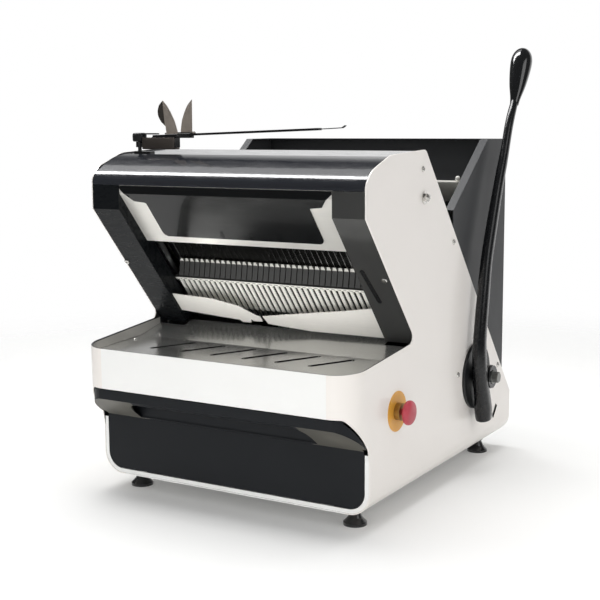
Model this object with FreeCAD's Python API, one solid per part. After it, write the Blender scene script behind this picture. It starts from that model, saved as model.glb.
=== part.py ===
import FreeCAD, Part
import math
import os

# Table-top frame bread slicer, millimetres, +Z up, front at low Y.
# Working frame: X = 0 in the middle, Y = 0 at the front rim, Z = 0 at the bottom of the housing.
# The exported pieces are moved so that the origin is the bottom centre of the whole machine.

# ---------------------------------------------------------------- housing
body_w = 560.0             # width over the side panels
body_d = 696.0             # depth
top_z = 600.0              # top rear corner of the side panels
sheet = 2.0                # housing sheet
low_r = 40.0               # rounded lower long edges
wrap_r = 48.0              # plan radius of the front corners
rim_z = 248.0              # rim of the front band
rim_slope = 0.095          # rise of the rim and of the tray towards the rear
band_low_z = 175.0         # lower edge of the front band
setback = 61.0             # drawer frame behind the front rim
cut_z = 112.0              # height where the slanted cut meets the drawer frame
lean = 40.0                # both inclines, degrees from the vertical
vertex_y = 45.5            # top of the front incline
vertex_drop = 105.0        # top of the front incline below the top rear corner
nose_drop = 60.0           # lower edge of the nose below the top rear corner
rear_corner_z = 90.0       # height where the rear incline meets the back
throat_r = 12.0            # rounded throat corner
top_r = 14.0               # rounded top rear corner
rear_r = 10.0              # rounded bottom rear corner
fit = 0.3                  # seat clearance between sheet pieces
flange_w = 9.5             # drawer frame flange

# ---------------------------------------------------------------- front of the machine
strip_in = 218.0           # inner edge of the dark side strips
strip_lap = 9.6            # strips below the rim line at the throat
strip_t = 1.5
strip_return = 22.0        # inward return of the strip
cheek_depth = 35.0         # depth of the throat cheek behind the return
cheek_s0 = 60.0
cheek_up = 13.0            # cheek ends above the strip end
guard_t = 20.0             # guard plate behind the strip faces
guard_sheet = 1.2
guard_end = 98.0           # lower edge of the guard plate down the incline
shield_in = 50.0           # shield inside the strips
shield_end = 82.0
shield_sheet = 1.5
shield_shoulder_in = 25.0
shield_top_in = 1.0
shield_neck = -4.0
shield_r = 11.0
guard_top_up = 5.0         # guard plate above the lower edge of the nose
tray_sheet = 1.5
tray_drop = 13.5          # front of the tray below the rim
tray_slope = 0.045         # rise of its front section
tray_fold_in = 62.0        # fold of the tray in front of the throat corner
tray_rise = 0.25           # rise of its rear section
tray_lip = 1.5             # upturned edge of the tray below the rim
tray_reach = 28.0          # tray behind the throat corner, below the outfeed plates
tray_slots = 6
slot_pitch = 67.3
slot_x0 = -185.5
slot_y0 = 90.6
slot_run_x = 45.0          # run of a tray slot along X
slot_run_y = 64.0          # and along Y
slot_w = 5.5
hood_inset = 2.5
hood_sheet = 1.5

# ---------------------------------------------------------------- comb and blades
pitch = 12.0               # slice pitch
fingers = 36
finger_w = 10.0
leg_w = 7.0
tip_up = 110.0             # comb tips above the strip end, along the incline
tip_t = 68.0               # comb tips, behind the incline
fold_up = 83.0
fold_t = 37.0
leg_up = 10.0
comb_sheet = 2.5
spine = 6.0
blade_w = 12.0
blade_th = 0.6
blade_t = 62.0             # front of the blade zone
frame_a_t = 52.0           # middle of the bars of frame A
frame_b_t = 84.0
bar_w = 16.0
bar_h = 20.0
upper_bar_s = 0.0
outfeed_up = 74.0          # outfeed plates above the strip end, along the incline
outfeed_drop = 5.0         # their seam below their outer edges
outfeed_seam = -31.0
lower_bar_down = 9.0       # lower bar below the strip end
bar_half = 254.0
upright_in = 226.0
upright_w = 10.0
stroke = 24.0
rod_r = 6.0
rod_x = 244.0
run_fit = 0.05             # radial running clearance
hook_w = 4.0
hook_h = 12.0

# ---------------------------------------------------------------- drive
crank_down = 189.0         # crankshaft below the strip end, along the incline
crank_t = 68.0
crank_r = stroke / 2.0
journal_r = 10.0
crank_pin_r = 8.0
web_r = 26.0
web_w = 8.0
throw_x = 30.0             # middle of each crank throw
rod_len = 92.0             # connecting rod, pin to pin
rod_w = 12.0
wrist_r = 5.0
window_wall = 8.0
link_t = 4.0
drive_pulley_r = 70.0
motor_pulley_r = 28.0
pulley_w = 12.0
pulley_x = -206.0
belt_t = 3.0
belt_gap = 0.35
motor_back = 76.0          # motor axis in front of the back
motor_z = 72.0
motor_r = 56.0
motor_len = 170.0
motor_x1 = -15.0
motor_shaft_r = 8.0

# ---------------------------------------------------------------- lever and pusher
pivot_back = 190.0         # lever axis in front of the back
pivot_z = 158.5
shaft_r = 11.0
lever_rest = 15.0          # rest angle of the rocker, degrees behind the vertical
lever_swing = 50.0         # swing of the lever, degrees
table_slope = 10.0
pin_h = 16.0               # pusher pin above the loaf table
pin_r = 6.0
slot_spare = 20.0          # table slots beyond the pin at both ends of its travel
fork_extra = 4.0           # side clearance of the pin in the fork
rocker_t = 6.0
rocker_hub_r = 24.0
fork_wall = 9.0
table_sheet = 2.0
table_front = 16.0
push_back = 35.8           # pusher plate in front of the hopper wall, along the table
push_h = 75.3              # height of the pusher plate
push_side = 9.0            # pusher plate beyond the outermost tine
rocker_side = 21.0         # rockers beyond the pusher plate
push_sheet = 2.0
tine_len = 149.0
tine_h = 57.5
tine_t = 3.0
tine_gap = 2.5
knob_r = 5.0
arm_x = 303.0              # middle plane of the lever arm
arm_grid = 100.0           # grid of the centre line of the arm
grip_len = 119.0
cover_r = 65.0
cover_t = 5.0
boss_r = 22.0
arm_hub_r = 23.0
arm_hub_half = 10.0
bolt_end = 329.0

# ---------------------------------------------------------------- hopper
hop_sheet = 1.5
hop_front = 302.0          # front edge of the hopper walls in front of the back
hop_front_drop = 113.0     # its top below the top rear corner
hop_fold = 140.0
hop_back = 43.0            # hopper rear wall in front of the back
hop_rise = 13.0            # hopper above the top rear corner
hop_flange = 16.0
hop_lap = 25.0             # lap of the hopper walls behind the panels

# ---------------------------------------------------------------- inner frame
chassis_x = 262.0
chassis_t = 3.0
inset = 16.0
bearing_r = 28.0
bearing_w = 14.0
bracket_in = 236.0
foot_rail = 222.0          # inner edge of the foot of the side plates

# ---------------------------------------------------------------- drawer, stop, feet, bag holder
guard_fold_drop = 70.0     # lower rear fold of the rear guard below the top rear corner
guard_reach = 140.0        # length of the guard ceiling
drawer_gap = 1.5
drawer_z = 11.0
drawer_fold_z = 112.0
lip_y = 4.0
lip_z0 = 154.5
lip_z1 = 172.0
grip_x0 = -190.0
grip_x1 = 183.0
grip_r = 26.0              # rounded top corners of the hand opening
lip_gap = 0.8              # lip band inside the housing sheet
tray_half = 213.0
tray_len = 250.0
tray_h = 86.0
runner_x = 186.0
runner_w = 14.0
stop_y = 160.0
stop_z = 160.5
stop_plate_r = 35.0
stop_collar_r = 15.0
stop_head_r = 21.0
stop_travel = 5.0
stop_collar_out = 11.0
stop_spare = 2.0           # play behind the pressed button
foot_h = 31.0
foot_r = 20.5
foot_x_front = 229.0
foot_y_front = 105.0
foot_x_rear = 235.0
foot_back = 63.0           # rear feet in front of the back
bag_x = -250.0
bag_y = 150.0
bag_rise = 13.0            # swivel arm above the top rear corner
bag_post_r = 3.5
bag_hub_r = 7.0
bag_hub_h = 9.0
bag_knob_r = 13.0
bag_knob_h = 16.0
bag_hub_up = 1.0           # hub of the swivel arm above the level of its arm joint
bag_arm_end = 137.0
bag_arm_up = 9.0           # underside of the arm above that level, at its near end
bag_arm_rise = 12.0        # rise of the arm over its length
bag_block_in = 35.0        # near end of the block beyond the swivel axis
bag_block = 52.0           # length of the block
bag_bracket_h = 8.0
leaf_x = -158.0            # gap between the two leaves
bag_arm_w = 12.0
bag_arm_t = 4.0
leaf_h = 60.0
gland_out = 9.0            # mains gland behind the rear cover

# ---------------------------------------------------------------- derived values
half = body_w / 2.0
inner = half - sheet
SA = math.sin(math.radians(lean))
CA = math.cos(math.radians(lean))
ST = math.sin(math.radians(table_slope))
CT = math.cos(math.radians(table_slope))
vertex_z = top_z - vertex_drop
nose_z = top_z - nose_drop
guard_top_z = nose_z + guard_top_up
guard_fold_z = top_z - guard_fold_drop
hop_y0 = body_d - hop_front
hop_z0 = top_z - hop_front_drop
hop_fold_y = body_d - hop_fold
hop_y1 = body_d - hop_back
hop_top = top_z + hop_rise
push_half = (fingers - 1) / 2.0 * pitch + push_side
rocker_in = push_half + rocker_side
shield_half = strip_in - shield_in
shield_shoulder = strip_in - shield_shoulder_in
shield_top_half = strip_in - shield_top_in
motor_y = body_d - motor_back
pivot_y = body_d - pivot_back
foot_y_rear = body_d - foot_back
bag_z = top_z + bag_rise
throat_y = (vertex_y + (vertex_z - rim_z) * SA / CA) / (1.0 + rim_slope * SA / CA)
throat_z = rim_z + rim_slope * throat_y
tray_fold_y = throat_y - tray_fold_in
tray_rear = throat_y + tray_reach
strip_len = (vertex_z - throat_z) / CA + strip_lap
cheek_s1 = strip_len - cheek_up
tip_s = strip_len - tip_up
fold_s = strip_len - fold_up
leg_s = strip_len - leg_up
lower_bar_s = strip_len + lower_bar_down
crank_s = strip_len + crank_down
crank_y = vertex_y + crank_s * SA + crank_t * CA
crank_z = vertex_z - crank_s * CA + crank_t * SA
table_y = vertex_y + tip_s * SA + tip_t * CA
table_z = vertex_z - tip_s * CA + tip_t * SA
push_u = (hop_y1 - table_y) / CT - push_back


def vec(x, y, z):
    return FreeCAD.Vector(x, y, z)


def box(x0, x1, y0, y1, z0, z1):
    return Part.makeBox(x1 - x0, y1 - y0, z1 - z0, vec(x0, y0, z0))


def outline(points, put):
    """Closed wire through (a, b, radius) corners; put maps (a, b) to a point in space."""
    count = len(points)
    ends = []
    for i in range(count):
        a0, b0 = points[i - 1][0], points[i - 1][1]
        a1, b1 = points[i][0], points[i][1]
        a2, b2 = points[(i + 1) % count][0], points[(i + 1) % count][1]
        radius = points[i][2] if len(points[i]) > 2 else 0.0
        if radius <= 0.0:
            ends.append(((a1, b1), None, (a1, b1)))
            continue
        l0 = math.hypot(a0 - a1, b0 - b1)
        l2 = math.hypot(a2 - a1, b2 - b1)
        u0 = ((a0 - a1) / l0, (b0 - b1) / l0)
        u2 = ((a2 - a1) / l2, (b2 - b1) / l2)
        turn = math.acos(max(-1.0, min(1.0, u0[0] * u2[0] + u0[1] * u2[1])))
        cut = radius / math.tan(turn / 2.0)
        cut = min(cut, 0.49 * l0, 0.49 * l2)
        radius = cut * math.tan(turn / 2.0)
        p0 = (a1 + u0[0] * cut, b1 + u0[1] * cut)
        p2 = (a1 + u2[0] * cut, b1 + u2[1] * cut)
        bis = (u0[0] + u2[0], u0[1] + u2[1])
        size = math.hypot(bis[0], bis[1])
        reach = radius / math.sin(turn / 2.0) - radius
        mid = (a1 + bis[0] / size * reach, b1 + bis[1] / size * reach)
        ends.append((p0, mid, p2))
    edges = []
    for i in range(count):
        start, mid, end = ends[i]
        if mid is not None:
            edges.append(Part.Arc(put(*start), put(*mid), put(*end)).toShape())
        after = ends[(i + 1) % count][0]
        if math.hypot(after[0] - end[0], after[1] - end[1]) > 1e-6:
            edges.append(Part.LineSegment(put(*end), put(*after)).toShape())
    return Part.Wire(edges)


def yz(points, x0, x1):
    wire = outline(points, lambda a, b: vec(x0, a, b))
    return Part.Face(wire).extrude(vec(x1 - x0, 0, 0))


def xz(points, y0, y1):
    wire = outline(points, lambda a, b: vec(a, y0, b))
    return Part.Face(wire).extrude(vec(0, y1 - y0, 0))


def xy(points, z0, z1):
    wire = outline(points, lambda a, b: vec(a, b, z0))
    return Part.Face(wire).extrude(vec(0, 0, z1 - z0))


def bent(points, thickness):
    """Corners of a bent sheet: the given line and its offset to the left of its direction."""
    count = len(points)
    other = []
    for i in range(count):
        a = points[max(i - 1, 0)]
        b = points[i]
        c = points[min(i + 1, count - 1)]
        normals = []
        for p, q in ((a, b), (b, c)):
            size = math.hypot(q[0] - p[0], q[1] - p[1])
            if size > 1e-9:
                normals.append((-(q[1] - p[1]) / size, (q[0] - p[0]) / size))
        nx = sum(n[0] for n in normals) / len(normals)
        ny = sum(n[1] for n in normals) / len(normals)
        size = nx * nx + ny * ny
        other.append((b[0] + nx / size * thickness, b[1] + ny / size * thickness))
    return [(p[0], p[1]) for p in points] + [(p[0], p[1]) for p in reversed(other)]


def bar_x(y, z, radius, x0, x1):
    return Part.makeCylinder(radius, x1 - x0, vec(x0, y, z), vec(1, 0, 0))


def fuse(shapes):
    first = shapes[0]
    return first.fuse(shapes[1:]) if len(shapes) > 1 else first


def flip(shape):
    return shape.mirror(vec(0, 0, 0), vec(1, 0, 0))


def on_incline(shape):
    """Put a shape built with x, s (down the incline) and t (inwards) on the front incline."""
    out = shape.copy()
    out.Placement = FreeCAD.Placement(
        vec(0, vertex_y, vertex_z), FreeCAD.Rotation(vec(1, 0, 0), -(90.0 - lean)))
    return out


def on_table(shape):
    """Put a shape built with x, u (up the loaf table) and m (above it) on the table."""
    out = shape.copy()
    out.Placement = FreeCAD.Placement(
        vec(0, table_y, table_z), FreeCAD.Rotation(vec(1, 0, 0), table_slope))
    return out


def st(s, t):
    return (vertex_y + s * SA + t * CA, vertex_z - s * CA + t * SA)


# ---------------------------------------------------------------- housing
def rear_line(z, back=0.0):
    """Y of the rear incline at a height, moved inwards by back."""
    return body_d - (z - rear_corner_z) * SA / CA - back / CA


def rear_low_z(y, back=0.0):
    """Height of the rear incline at a depth, moved inwards by back."""
    return rear_corner_z + (body_d - y) * CA / SA - back / SA


def side_outline():
    ty, tz = throat_y, throat_z
    return [
        (0.0, 0.0),
        (0.0, rim_z),
        (ty, tz, throat_r),
        (vertex_y, vertex_z),
        (vertex_y, nose_z + 10.0, 16.0),
        (vertex_y + 20.0, nose_z + 31.0, 40.0),
        (vertex_y + 86.0, top_z - 6.0, 80.0),
        (rear_line(top_z), top_z, top_r),
        (body_d, rear_low_z(body_d)),
        (body_d, 0.0, rear_r),
    ]


def opening_cut():
    return [
        (-20.0, band_low_z),
        (9.0, band_low_z, 9.0),
        (setback - 4.0, cut_z + 4.0, 18.0),
        (setback, cut_z - 24.0),
        (setback, -20.0),
        (-20.0, -20.0),
    ]


def hull(off, tall):
    """Front and plan outline of the housing moved inwards by off, cut at the height tall."""
    h = half - off
    r = low_r - off
    front = xz([(-h, tall), (-h, off, r), (h, off, r), (h, tall)], off, body_d + 20.0)
    w = wrap_r - off
    plan = xy([(-h, off, w), (h, off, w), (h, body_d + 20.0), (-h, body_d + 20.0)], -20.0, tall + 20.0)
    return front.common(plan)


def housing():
    outer = hull(0.0, top_z + 40.0)
    space = hull(sheet, top_z + 60.0)
    shell = outer.cut(space)
    shell = shell.common(yz(side_outline(), -half - 5.0, half + 5.0))
    shell = shell.cut(yz(opening_cut(), -half - 5.0, half + 5.0))
    seam = half - wrap_r
    right = shell.common(box(seam, half + 5, -5, body_d + 5, -5, top_z + 5))
    left = shell.common(box(-half - 5, -seam, -5, body_d + 5, -5, top_z + 5))
    middle = shell.common(box(-seam, seam, -5, body_d + 5, -5, top_z + 5))
    band = middle.common(box(-seam, seam, -5, wrap_r, 100, top_z))
    pan = middle.common(box(-seam, seam, -5, body_d + 5, -5, low_r))
    for side in (-1, 1):
        a, b = sorted((side * runner_x, side * (runner_x + runner_w)))
        pan = pan.fuse(box(a, b, setback + sheet + fit, setback + tray_len + 20.0, sheet, flange_w + fit))
    for y, z, r in ((pivot_y, pivot_z, shaft_r + 2.5), (stop_y, stop_z, 11.5)):
        right = right.cut(bar_x(y, z, r, half - 20, half + 5))
    a0 = math.radians(-47.5)
    a1 = math.radians(-35.5)
    slot = []
    for i in range(5):
        a = a0 + (a1 - a0) * i / 4.0
        slot.append((pivot_y + 137.0 * math.cos(a), pivot_z + 137.0 * math.sin(a)))
    for i in range(5):
        a = a1 + (a0 - a1) * i / 4.0
        slot.append((pivot_y + 147.0 * math.cos(a), pivot_z + 147.0 * math.sin(a)))
    right = right.cut(yz(slot, half - 20, half + 5))
    return left, right, band, pan


def drawer_frame():
    h = inner - fit
    r = low_r - sheet - fit
    low = sheet + fit
    plate = xz([(-h, cut_z - 6.0), (-h, low, r), (h, low, r), (h, cut_z - 6.0)], setback, setback + sheet)
    e = half - flange_w
    hole = xz([(-e, cut_z + 20.0), (-e, flange_w, low_r - flange_w), (e, flange_w, low_r - flange_w),
               (e, cut_z + 20.0)], setback - 1.0, setback + sheet + 1.0)
    return plate.cut(hole)


def rear_cover():
    y1 = body_d - 1.0
    edge = hop_y1 + fit + 2 * sheet
    line = [(edge, rear_low_z(edge, 2.5)), (y1, rear_low_z(y1, 2.5)), (y1, sheet + fit)]
    cover = yz(bent(line, -sheet), -inner + fit, inner - fit)
    space = hull(sheet + fit, top_z)
    cover = cover.common(space)
    return cover.cut(Part.makeCylinder(10.0, 20.0, vec(150, y1 - 10, 40), vec(0, 1, 0)))


def mains_gland():
    y1 = body_d - 1.0
    out = body_d + gland_out
    body = Part.makeCylinder(10.0 - 0.2, 22.0, vec(150, out - 22.0, 40), vec(0, 1, 0))
    nut = Part.makeCylinder(14.0, 5.0, vec(150, y1 - sheet - 5.0, 40), vec(0, 1, 0))
    bore = Part.makeCylinder(4.5, 40.0, vec(150, y1 - 20.0, 40), vec(0, 1, 0))
    return body.fuse(nut).cut(bore)


# ---------------------------------------------------------------- front pieces
def tray_top(y):
    """Height of the upper face of the tray."""
    z = rim_z - tray_drop + tray_slope * min(y, tray_fold_y)
    return z + tray_rise * max(0.0, y - tray_fold_y)


def slice_tray():
    """Folded steel tray with upturned edges inside the rim and six slanted slots."""
    y0 = sheet + fit
    y1 = throat_y - 1.0
    line = [(y0, tray_top(y0)), (tray_fold_y, tray_top(tray_fold_y)), (tray_rear, tray_top(tray_rear))]
    floor = yz(bent(line, -tray_sheet), -inner, inner).common(hull(y0, top_z))
    wide = box(-inner, inner, 0.0, y1, 0.0, top_z)
    narrow = box(-strip_in + 1.0, strip_in - 1.0, 0.0, tray_rear, 0.0, top_z)
    floor = floor.common(wide.fuse(narrow))
    mid = tray_sheet / 2.0
    side = yz([(0.0, tray_top(0.0) - mid), (tray_fold_y, tray_top(tray_fold_y) - mid),
               (y1, tray_top(y1) - mid), (y1, rim_z + rim_slope * y1 - tray_lip),
               (0.0, rim_z - tray_lip)], -inner, inner)
    edge = hull(y0, top_z).cut(hull(y0 + tray_sheet, top_z)).common(side)
    tray = floor.fuse(edge)
    run = math.hypot(slot_run_x, slot_run_y)
    across = slot_w / 2.0 * slot_run_y / run
    along = slot_w / 2.0 * slot_run_x / run
    cutter = []
    for i in range(tray_slots):
        x = slot_x0 + slot_pitch * i
        far_x = x + slot_run_x
        far_y = slot_y0 + slot_run_y
        cutter.append(xy([(x - across, slot_y0 + along), (x + across, slot_y0 - along),
                          (far_x + across, far_y - along), (far_x - across, far_y + along)], 200, 300))
    return tray.cut(cutter)


def hood():
    k = hood_inset
    line = [(vertex_y, nose_z - 1.0), (vertex_y + 0.6, nose_z + 9.0), (vertex_y + 6.5, nose_z + 18.0),
            (vertex_y + 21.0, nose_z + 28.0), (vertex_y + 50.0, nose_z + 42.0),
            (vertex_y + 87.0, top_z - 6.0 - k), (rear_line(top_z, k) - 6.0, top_z - k)]
    count = len(line)
    inner_line = [(p[0], p[1]) for p in bent(line, -hood_sheet)[count:]]
    x0 = -inner + fit

    def curve(points):
        spline = Part.BSplineCurve()
        spline.interpolate([vec(x0, p[0], p[1]) for p in points[:6]])
        return [spline.toShape(), Part.LineSegment(vec(x0, *points[5]), vec(x0, *points[6])).toShape()]

    inner_line.reverse()
    edges = curve(line) + curve(inner_line)
    edges.append(Part.LineSegment(vec(x0, *line[0]), vec(x0, *inner_line[0])).toShape())
    edges.append(Part.LineSegment(vec(x0, *line[-1]), vec(x0, *inner_line[-1])).toShape())
    face = Part.Face(Part.Wire(Part.__sortEdges__(edges)))
    return face.extrude(vec(2 * (inner - fit), 0, 0))


def rear_guard():
    """Guard behind the blades: top lap, rear incline and the ceiling over the loaf."""
    k = hood_inset
    y0 = rear_line(top_z, k) - 40.0
    top = hood_top(y0 + 34.0) - hood_sheet - fit
    line = [(y0, hood_top(y0) - hood_sheet - fit), (rear_line(top, k), top),
            (rear_line(guard_fold_z, k), guard_fold_z),
            (rear_line(guard_fold_z, k) - guard_reach * CT, guard_fold_z - guard_reach * ST)]
    sheet_all = yz(bent(line, -hood_sheet), -inner + fit, inner - fit)
    x = chassis_x - fit
    for side in (-1, 1):
        a, b = sorted((side * x, side * inner))
        sheet_all = sheet_all.cut(box(a, b, 0, rear_line(guard_fold_z, inset) + 4.0, 300, top_z - 14.0))
    return sheet_all


def strip(side):
    """Dark strip: face on the incline, vertical top, return and cheek along the throat."""
    end = strip_len
    line = [(vertex_y, nose_z - 1.5), (vertex_y, vertex_z), st(end, 0.0)]
    outer_x = inner - fit
    face = yz(bent(line, strip_t), strip_in, outer_x)
    ret = yz(bent(line, strip_return), strip_in, strip_in + strip_t)
    cheek = on_incline(box(strip_in + strip_t, strip_in + 2 * strip_t, cheek_s0, cheek_s1,
                           strip_t, cheek_depth))
    piece = face.fuse([ret, cheek])
    return piece if side > 0 else flip(piece)


def guard_plate():
    w = strip_in - fit
    y = vertex_y + shield_sheet
    bend_s = (y - vertex_y - guard_t * CA) / SA
    bend_z = vertex_z - bend_s * CA + guard_t * SA
    line = [(y, guard_top_z), (y, bend_z), st(guard_end, guard_t)]
    return yz(bent(line, guard_sheet), -w, w)


def shield():
    y = vertex_y
    t0 = guard_t - shield_sheet
    bend_s = (y - vertex_y - t0 * CA) / SA
    bend_z = vertex_z - bend_s * CA + t0 * SA
    frac = (shield_neck - bend_s) / 31.0
    mid = shield_shoulder + (shield_top_half - shield_shoulder) * frac
    flat = [(-mid, bend_s), (mid, bend_s), (shield_shoulder, shield_neck), (shield_half, shield_neck + 3.0, 4.0),
            (shield_half, shield_end, shield_r), (-shield_half, shield_end, shield_r),
            (-shield_half, shield_neck + 3.0, 4.0), (-shield_shoulder, shield_neck)]
    low = on_incline(xy(flat, t0, guard_t))
    up = xz([(-mid, bend_z), (mid, bend_z), (shield_top_half, bend_z + 9.0), (shield_top_half, guard_top_z - 7.0),
             (-shield_top_half, guard_top_z - 7.0), (-shield_top_half, bend_z + 9.0)], y, y + shield_sheet)
    return low.fuse(up)


def outfeed(side):
    """Light sheet plate below the throat, from the strip to the seam left of the middle."""
    seam = outfeed_seam
    w = strip_in - fit
    s0 = strip_len - outfeed_up
    if side < 0:
        pts = [(-w, s0), (-0.58 * w, s0 + 2.0), (-0.33 * w, s0 + 15.0), (-0.19 * w, s0 + 37.0),
               (seam - 1.0, s0 + 40.0), (seam - 1.0, s0 + 53.0), (-52.0, s0 + 54.0), (-57.0, s0 + 49.0),
               (-60.0, s0 + 60.0), (-80.0, s0 + 61.0), (-85.0, s0 + 54.0), (-89.0, s0 + 55.0),
               (-w, s0 + 46.0)]
        hinge = -w
        turn = math.degrees(math.atan2(outfeed_drop, w + seam))
    else:
        pts = [(w, s0 - 5.0), (0.69 * w, s0 + 8.0), (0.37 * w, s0 + 19.5), (0.09 * w, s0 + 30.0),
               (seam + 5.0, s0 + 38.0), (seam + 9.0, s0 + 58.0), (0.3 * w, s0 + 70.0), (w, s0 + 73.0)]
        hinge = w
        turn = -math.degrees(math.atan2(outfeed_drop, w - seam))
    plate = xy(pts, 0.0, 1.5)
    plate.rotate(vec(hinge, 0, 0), vec(0, 1, 0), turn)
    plate.translate(vec(0, 0, 6.0))
    trim = box(-w, w, 0, s0 + 80.0, -30, 30)
    return on_incline(plate.common(trim))


# ---------------------------------------------------------------- comb
def comb_front():
    """Slotted comb with a folded section: upper fingers, fold and lower legs."""
    pieces = []
    wing = bent([(tip_s, tip_t), (fold_s, fold_t)], comb_sheet)
    for i in range(fingers):
        x = (i - (fingers - 1) / 2.0) * pitch
        up = yz(wing, x - finger_w / 2.0, x + finger_w / 2.0)
        leg = yz([(fold_s - 2.0, fold_t), (leg_s, fold_t), (leg_s, fold_t + comb_sheet),
                  (fold_s - 2.0, fold_t + comb_sheet)], x - leg_w / 2.0, x + leg_w / 2.0)
        pieces.append(up)
        pieces.append(leg)
    bar = yz([(fold_s - spine + 1.0, fold_t + 1.0), (fold_s + 1.0, fold_t + 1.0),
              (fold_s + 1.0, fold_t + spine + 1.0), (fold_s - spine + 1.0, fold_t + spine + 1.0)],
             -chassis_x, chassis_x)
    return on_incline(fuse([bar] + pieces))


def comb_rear():
    """Crumb comb: short teeth behind the ends of the legs."""
    s1 = leg_s + 11.0
    pieces = [box(-chassis_x, chassis_x, s1, s1 + 10.0, 30.0, 32.0)]
    for i in range(fingers):
        x = (i - (fingers - 1) / 2.0) * pitch
        pieces.append(box(x - 3.0, x + 3.0, leg_s - 7.0, s1, 30.0, 32.0))
    return on_incline(fuse(pieces))


# ---------------------------------------------------------------- blade frames
def frame_bars(mid, crank_side):
    t0 = mid - bar_w / 2.0
    t1 = mid + bar_w / 2.0
    upper = box(-bar_half, bar_half, upper_bar_s, upper_bar_s + bar_h, t0, t1)
    lower = box(-bar_half, bar_half, lower_bar_s, lower_bar_s + bar_h, t0, t1)
    parts = [upper, lower]
    for side in (-1, 1):
        x0 = upright_in if side > 0 else -upright_in - upright_w
        parts.append(box(x0, x0 + upright_w, upper_bar_s + bar_h - 1.0, lower_bar_s + 1.0, mid - 5.0, mid + 5.0))
    pin_s = crank_s - rod_len
    wide_s = crank_r + stroke / 2.0 + wrist_r + 1.0
    wide_t = crank_r + wrist_r + 1.0
    x_mid = crank_side * throw_x
    for gap in (-1, 1):
        x0 = x_mid + gap * (rod_w / 2.0 + 6.0) - link_t / 2.0
        low = box(x0, x0 + link_t, pin_s - wide_s - window_wall, pin_s + wide_s + window_wall,
                  crank_t - wide_t - window_wall, crank_t + wide_t + window_wall)
        neck = box(x0, x0 + link_t, lower_bar_s + bar_h - 1.0, pin_s - wide_s, t0, t1)
        hole = box(x0 - 1, x0 + link_t + 1, pin_s - wide_s, pin_s + wide_s, crank_t - wide_t, crank_t + wide_t)
        parts.append(low.fuse(neck).cut(hole))
    shape = fuse(parts)
    for side in (-1, 1):
        bore = Part.makeCylinder(rod_r + run_fit, lower_bar_s + bar_h + 40.0,
                                 vec(side * rod_x, upper_bar_s - 20.0, mid), vec(0, 1, 0))
        shape = shape.cut(bore)
    return on_incline(shape)


def blades(first, mid):
    """Every second blade, each with its two end hooks reaching to the bars of its frame."""
    out = []
    count = fingers - 1
    for i in range(first, count, 2):
        x = (i - (count - 1) / 2.0) * pitch
        blade = box(x - blade_th / 2, x + blade_th / 2, upper_bar_s + 6.0, lower_bar_s + bar_h - 6.0,
                    blade_t, blade_t + blade_w)
        if mid < blade_t:
            t0, t1 = mid + bar_w / 2.0, blade_t + blade_w
        else:
            t0, t1 = blade_t, mid - bar_w / 2.0
        hooks = []
        for s in (upper_bar_s + 4.0, lower_bar_s + 4.0):
            hooks.append(box(x - hook_w / 2, x + hook_w / 2, s, s + hook_h, t0, t1))
        out.append(on_incline(blade.fuse(hooks)))
    return out


def guide_rods():
    out = []
    for mid in (frame_a_t, frame_b_t):
        for side in (-1, 1):
            start = upper_bar_s - stroke / 2.0 - 12.0
            end = lower_bar_s + bar_h + stroke / 2.0 + 11.0
            rod = Part.makeCylinder(rod_r, end - start, vec(side * rod_x, start, mid), vec(0, 1, 0))
            out.append(on_incline(rod))
    return out


# ---------------------------------------------------------------- inner frame
def chassis(side):
    ty, tz = throat_y, throat_z
    x0 = chassis_x
    x1 = chassis_x + chassis_t
    v = (vertex_y + 14.0, vertex_z + 4.0)
    low = 16.0
    plate = yz([
        (setback + 9.0, low), (body_d - inset, low), (body_d - inset, rear_low_z(body_d - inset, inset)),
        (rear_line(top_z - 14.0, inset), top_z - 14.0), (vertex_y + 85.0, top_z - 21.0),
        (vertex_y + 36.0, nose_z + 27.0), (v[0], nose_z + 5.0), v,
        (ty + 8.5, tz + 12.0), (ty + 8.5, tray_top(ty) - 8.0), (tray_fold_y, tray_top(tray_fold_y) - 5.0),
        (setback + 9.0, tray_top(setback) - 5.0)], x0, x1)
    foot = xz([(x1, low), (x1, low + 2.0), (x0, low + 2.0), (half - low_r + 2.0, sheet + 2.0),
               (foot_rail, sheet + 2.0), (foot_rail, sheet), (half - low_r, sheet)], setback + 9.0, body_d - inset)
    parts = [plate, foot]
    for s0 in (upper_bar_s - stroke / 2.0 - 12.0, lower_bar_s + bar_h + stroke / 2.0 + 3.0):
        parts.append(on_incline(box(bracket_in, x0 + 1.0, s0, s0 + 8.0,
                                    frame_a_t - rod_r - 4.0, frame_b_t + rod_r + 4.0)))
    shape = fuse(parts)
    for mid in (frame_a_t, frame_b_t):
        shape = shape.cut(on_incline(Part.makeCylinder(rod_r, 420.0, vec(rod_x, -40.0, mid), vec(0, 1, 0))))
    shape = shape.cut(bar_x(pivot_y, pivot_z, shaft_r + 2.5, x0 - 5, x1 + 5))
    shape = shape.cut(bar_x(crank_y, crank_z, journal_r + 2.0, x0 - 5, x1 + 5))
    return shape if side > 0 else flip(shape)


def bearing_pair(y, z, bore, outer_r):
    out = []
    for side in (-1, 1):
        x0 = chassis_x - bearing_w if side > 0 else -chassis_x
        ring = bar_x(y, z, outer_r, x0, x0 + bearing_w)
        out.append(ring.cut(bar_x(y, z, bore + run_fit, x0 - 1, x0 + bearing_w + 1)))
    return out


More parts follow.
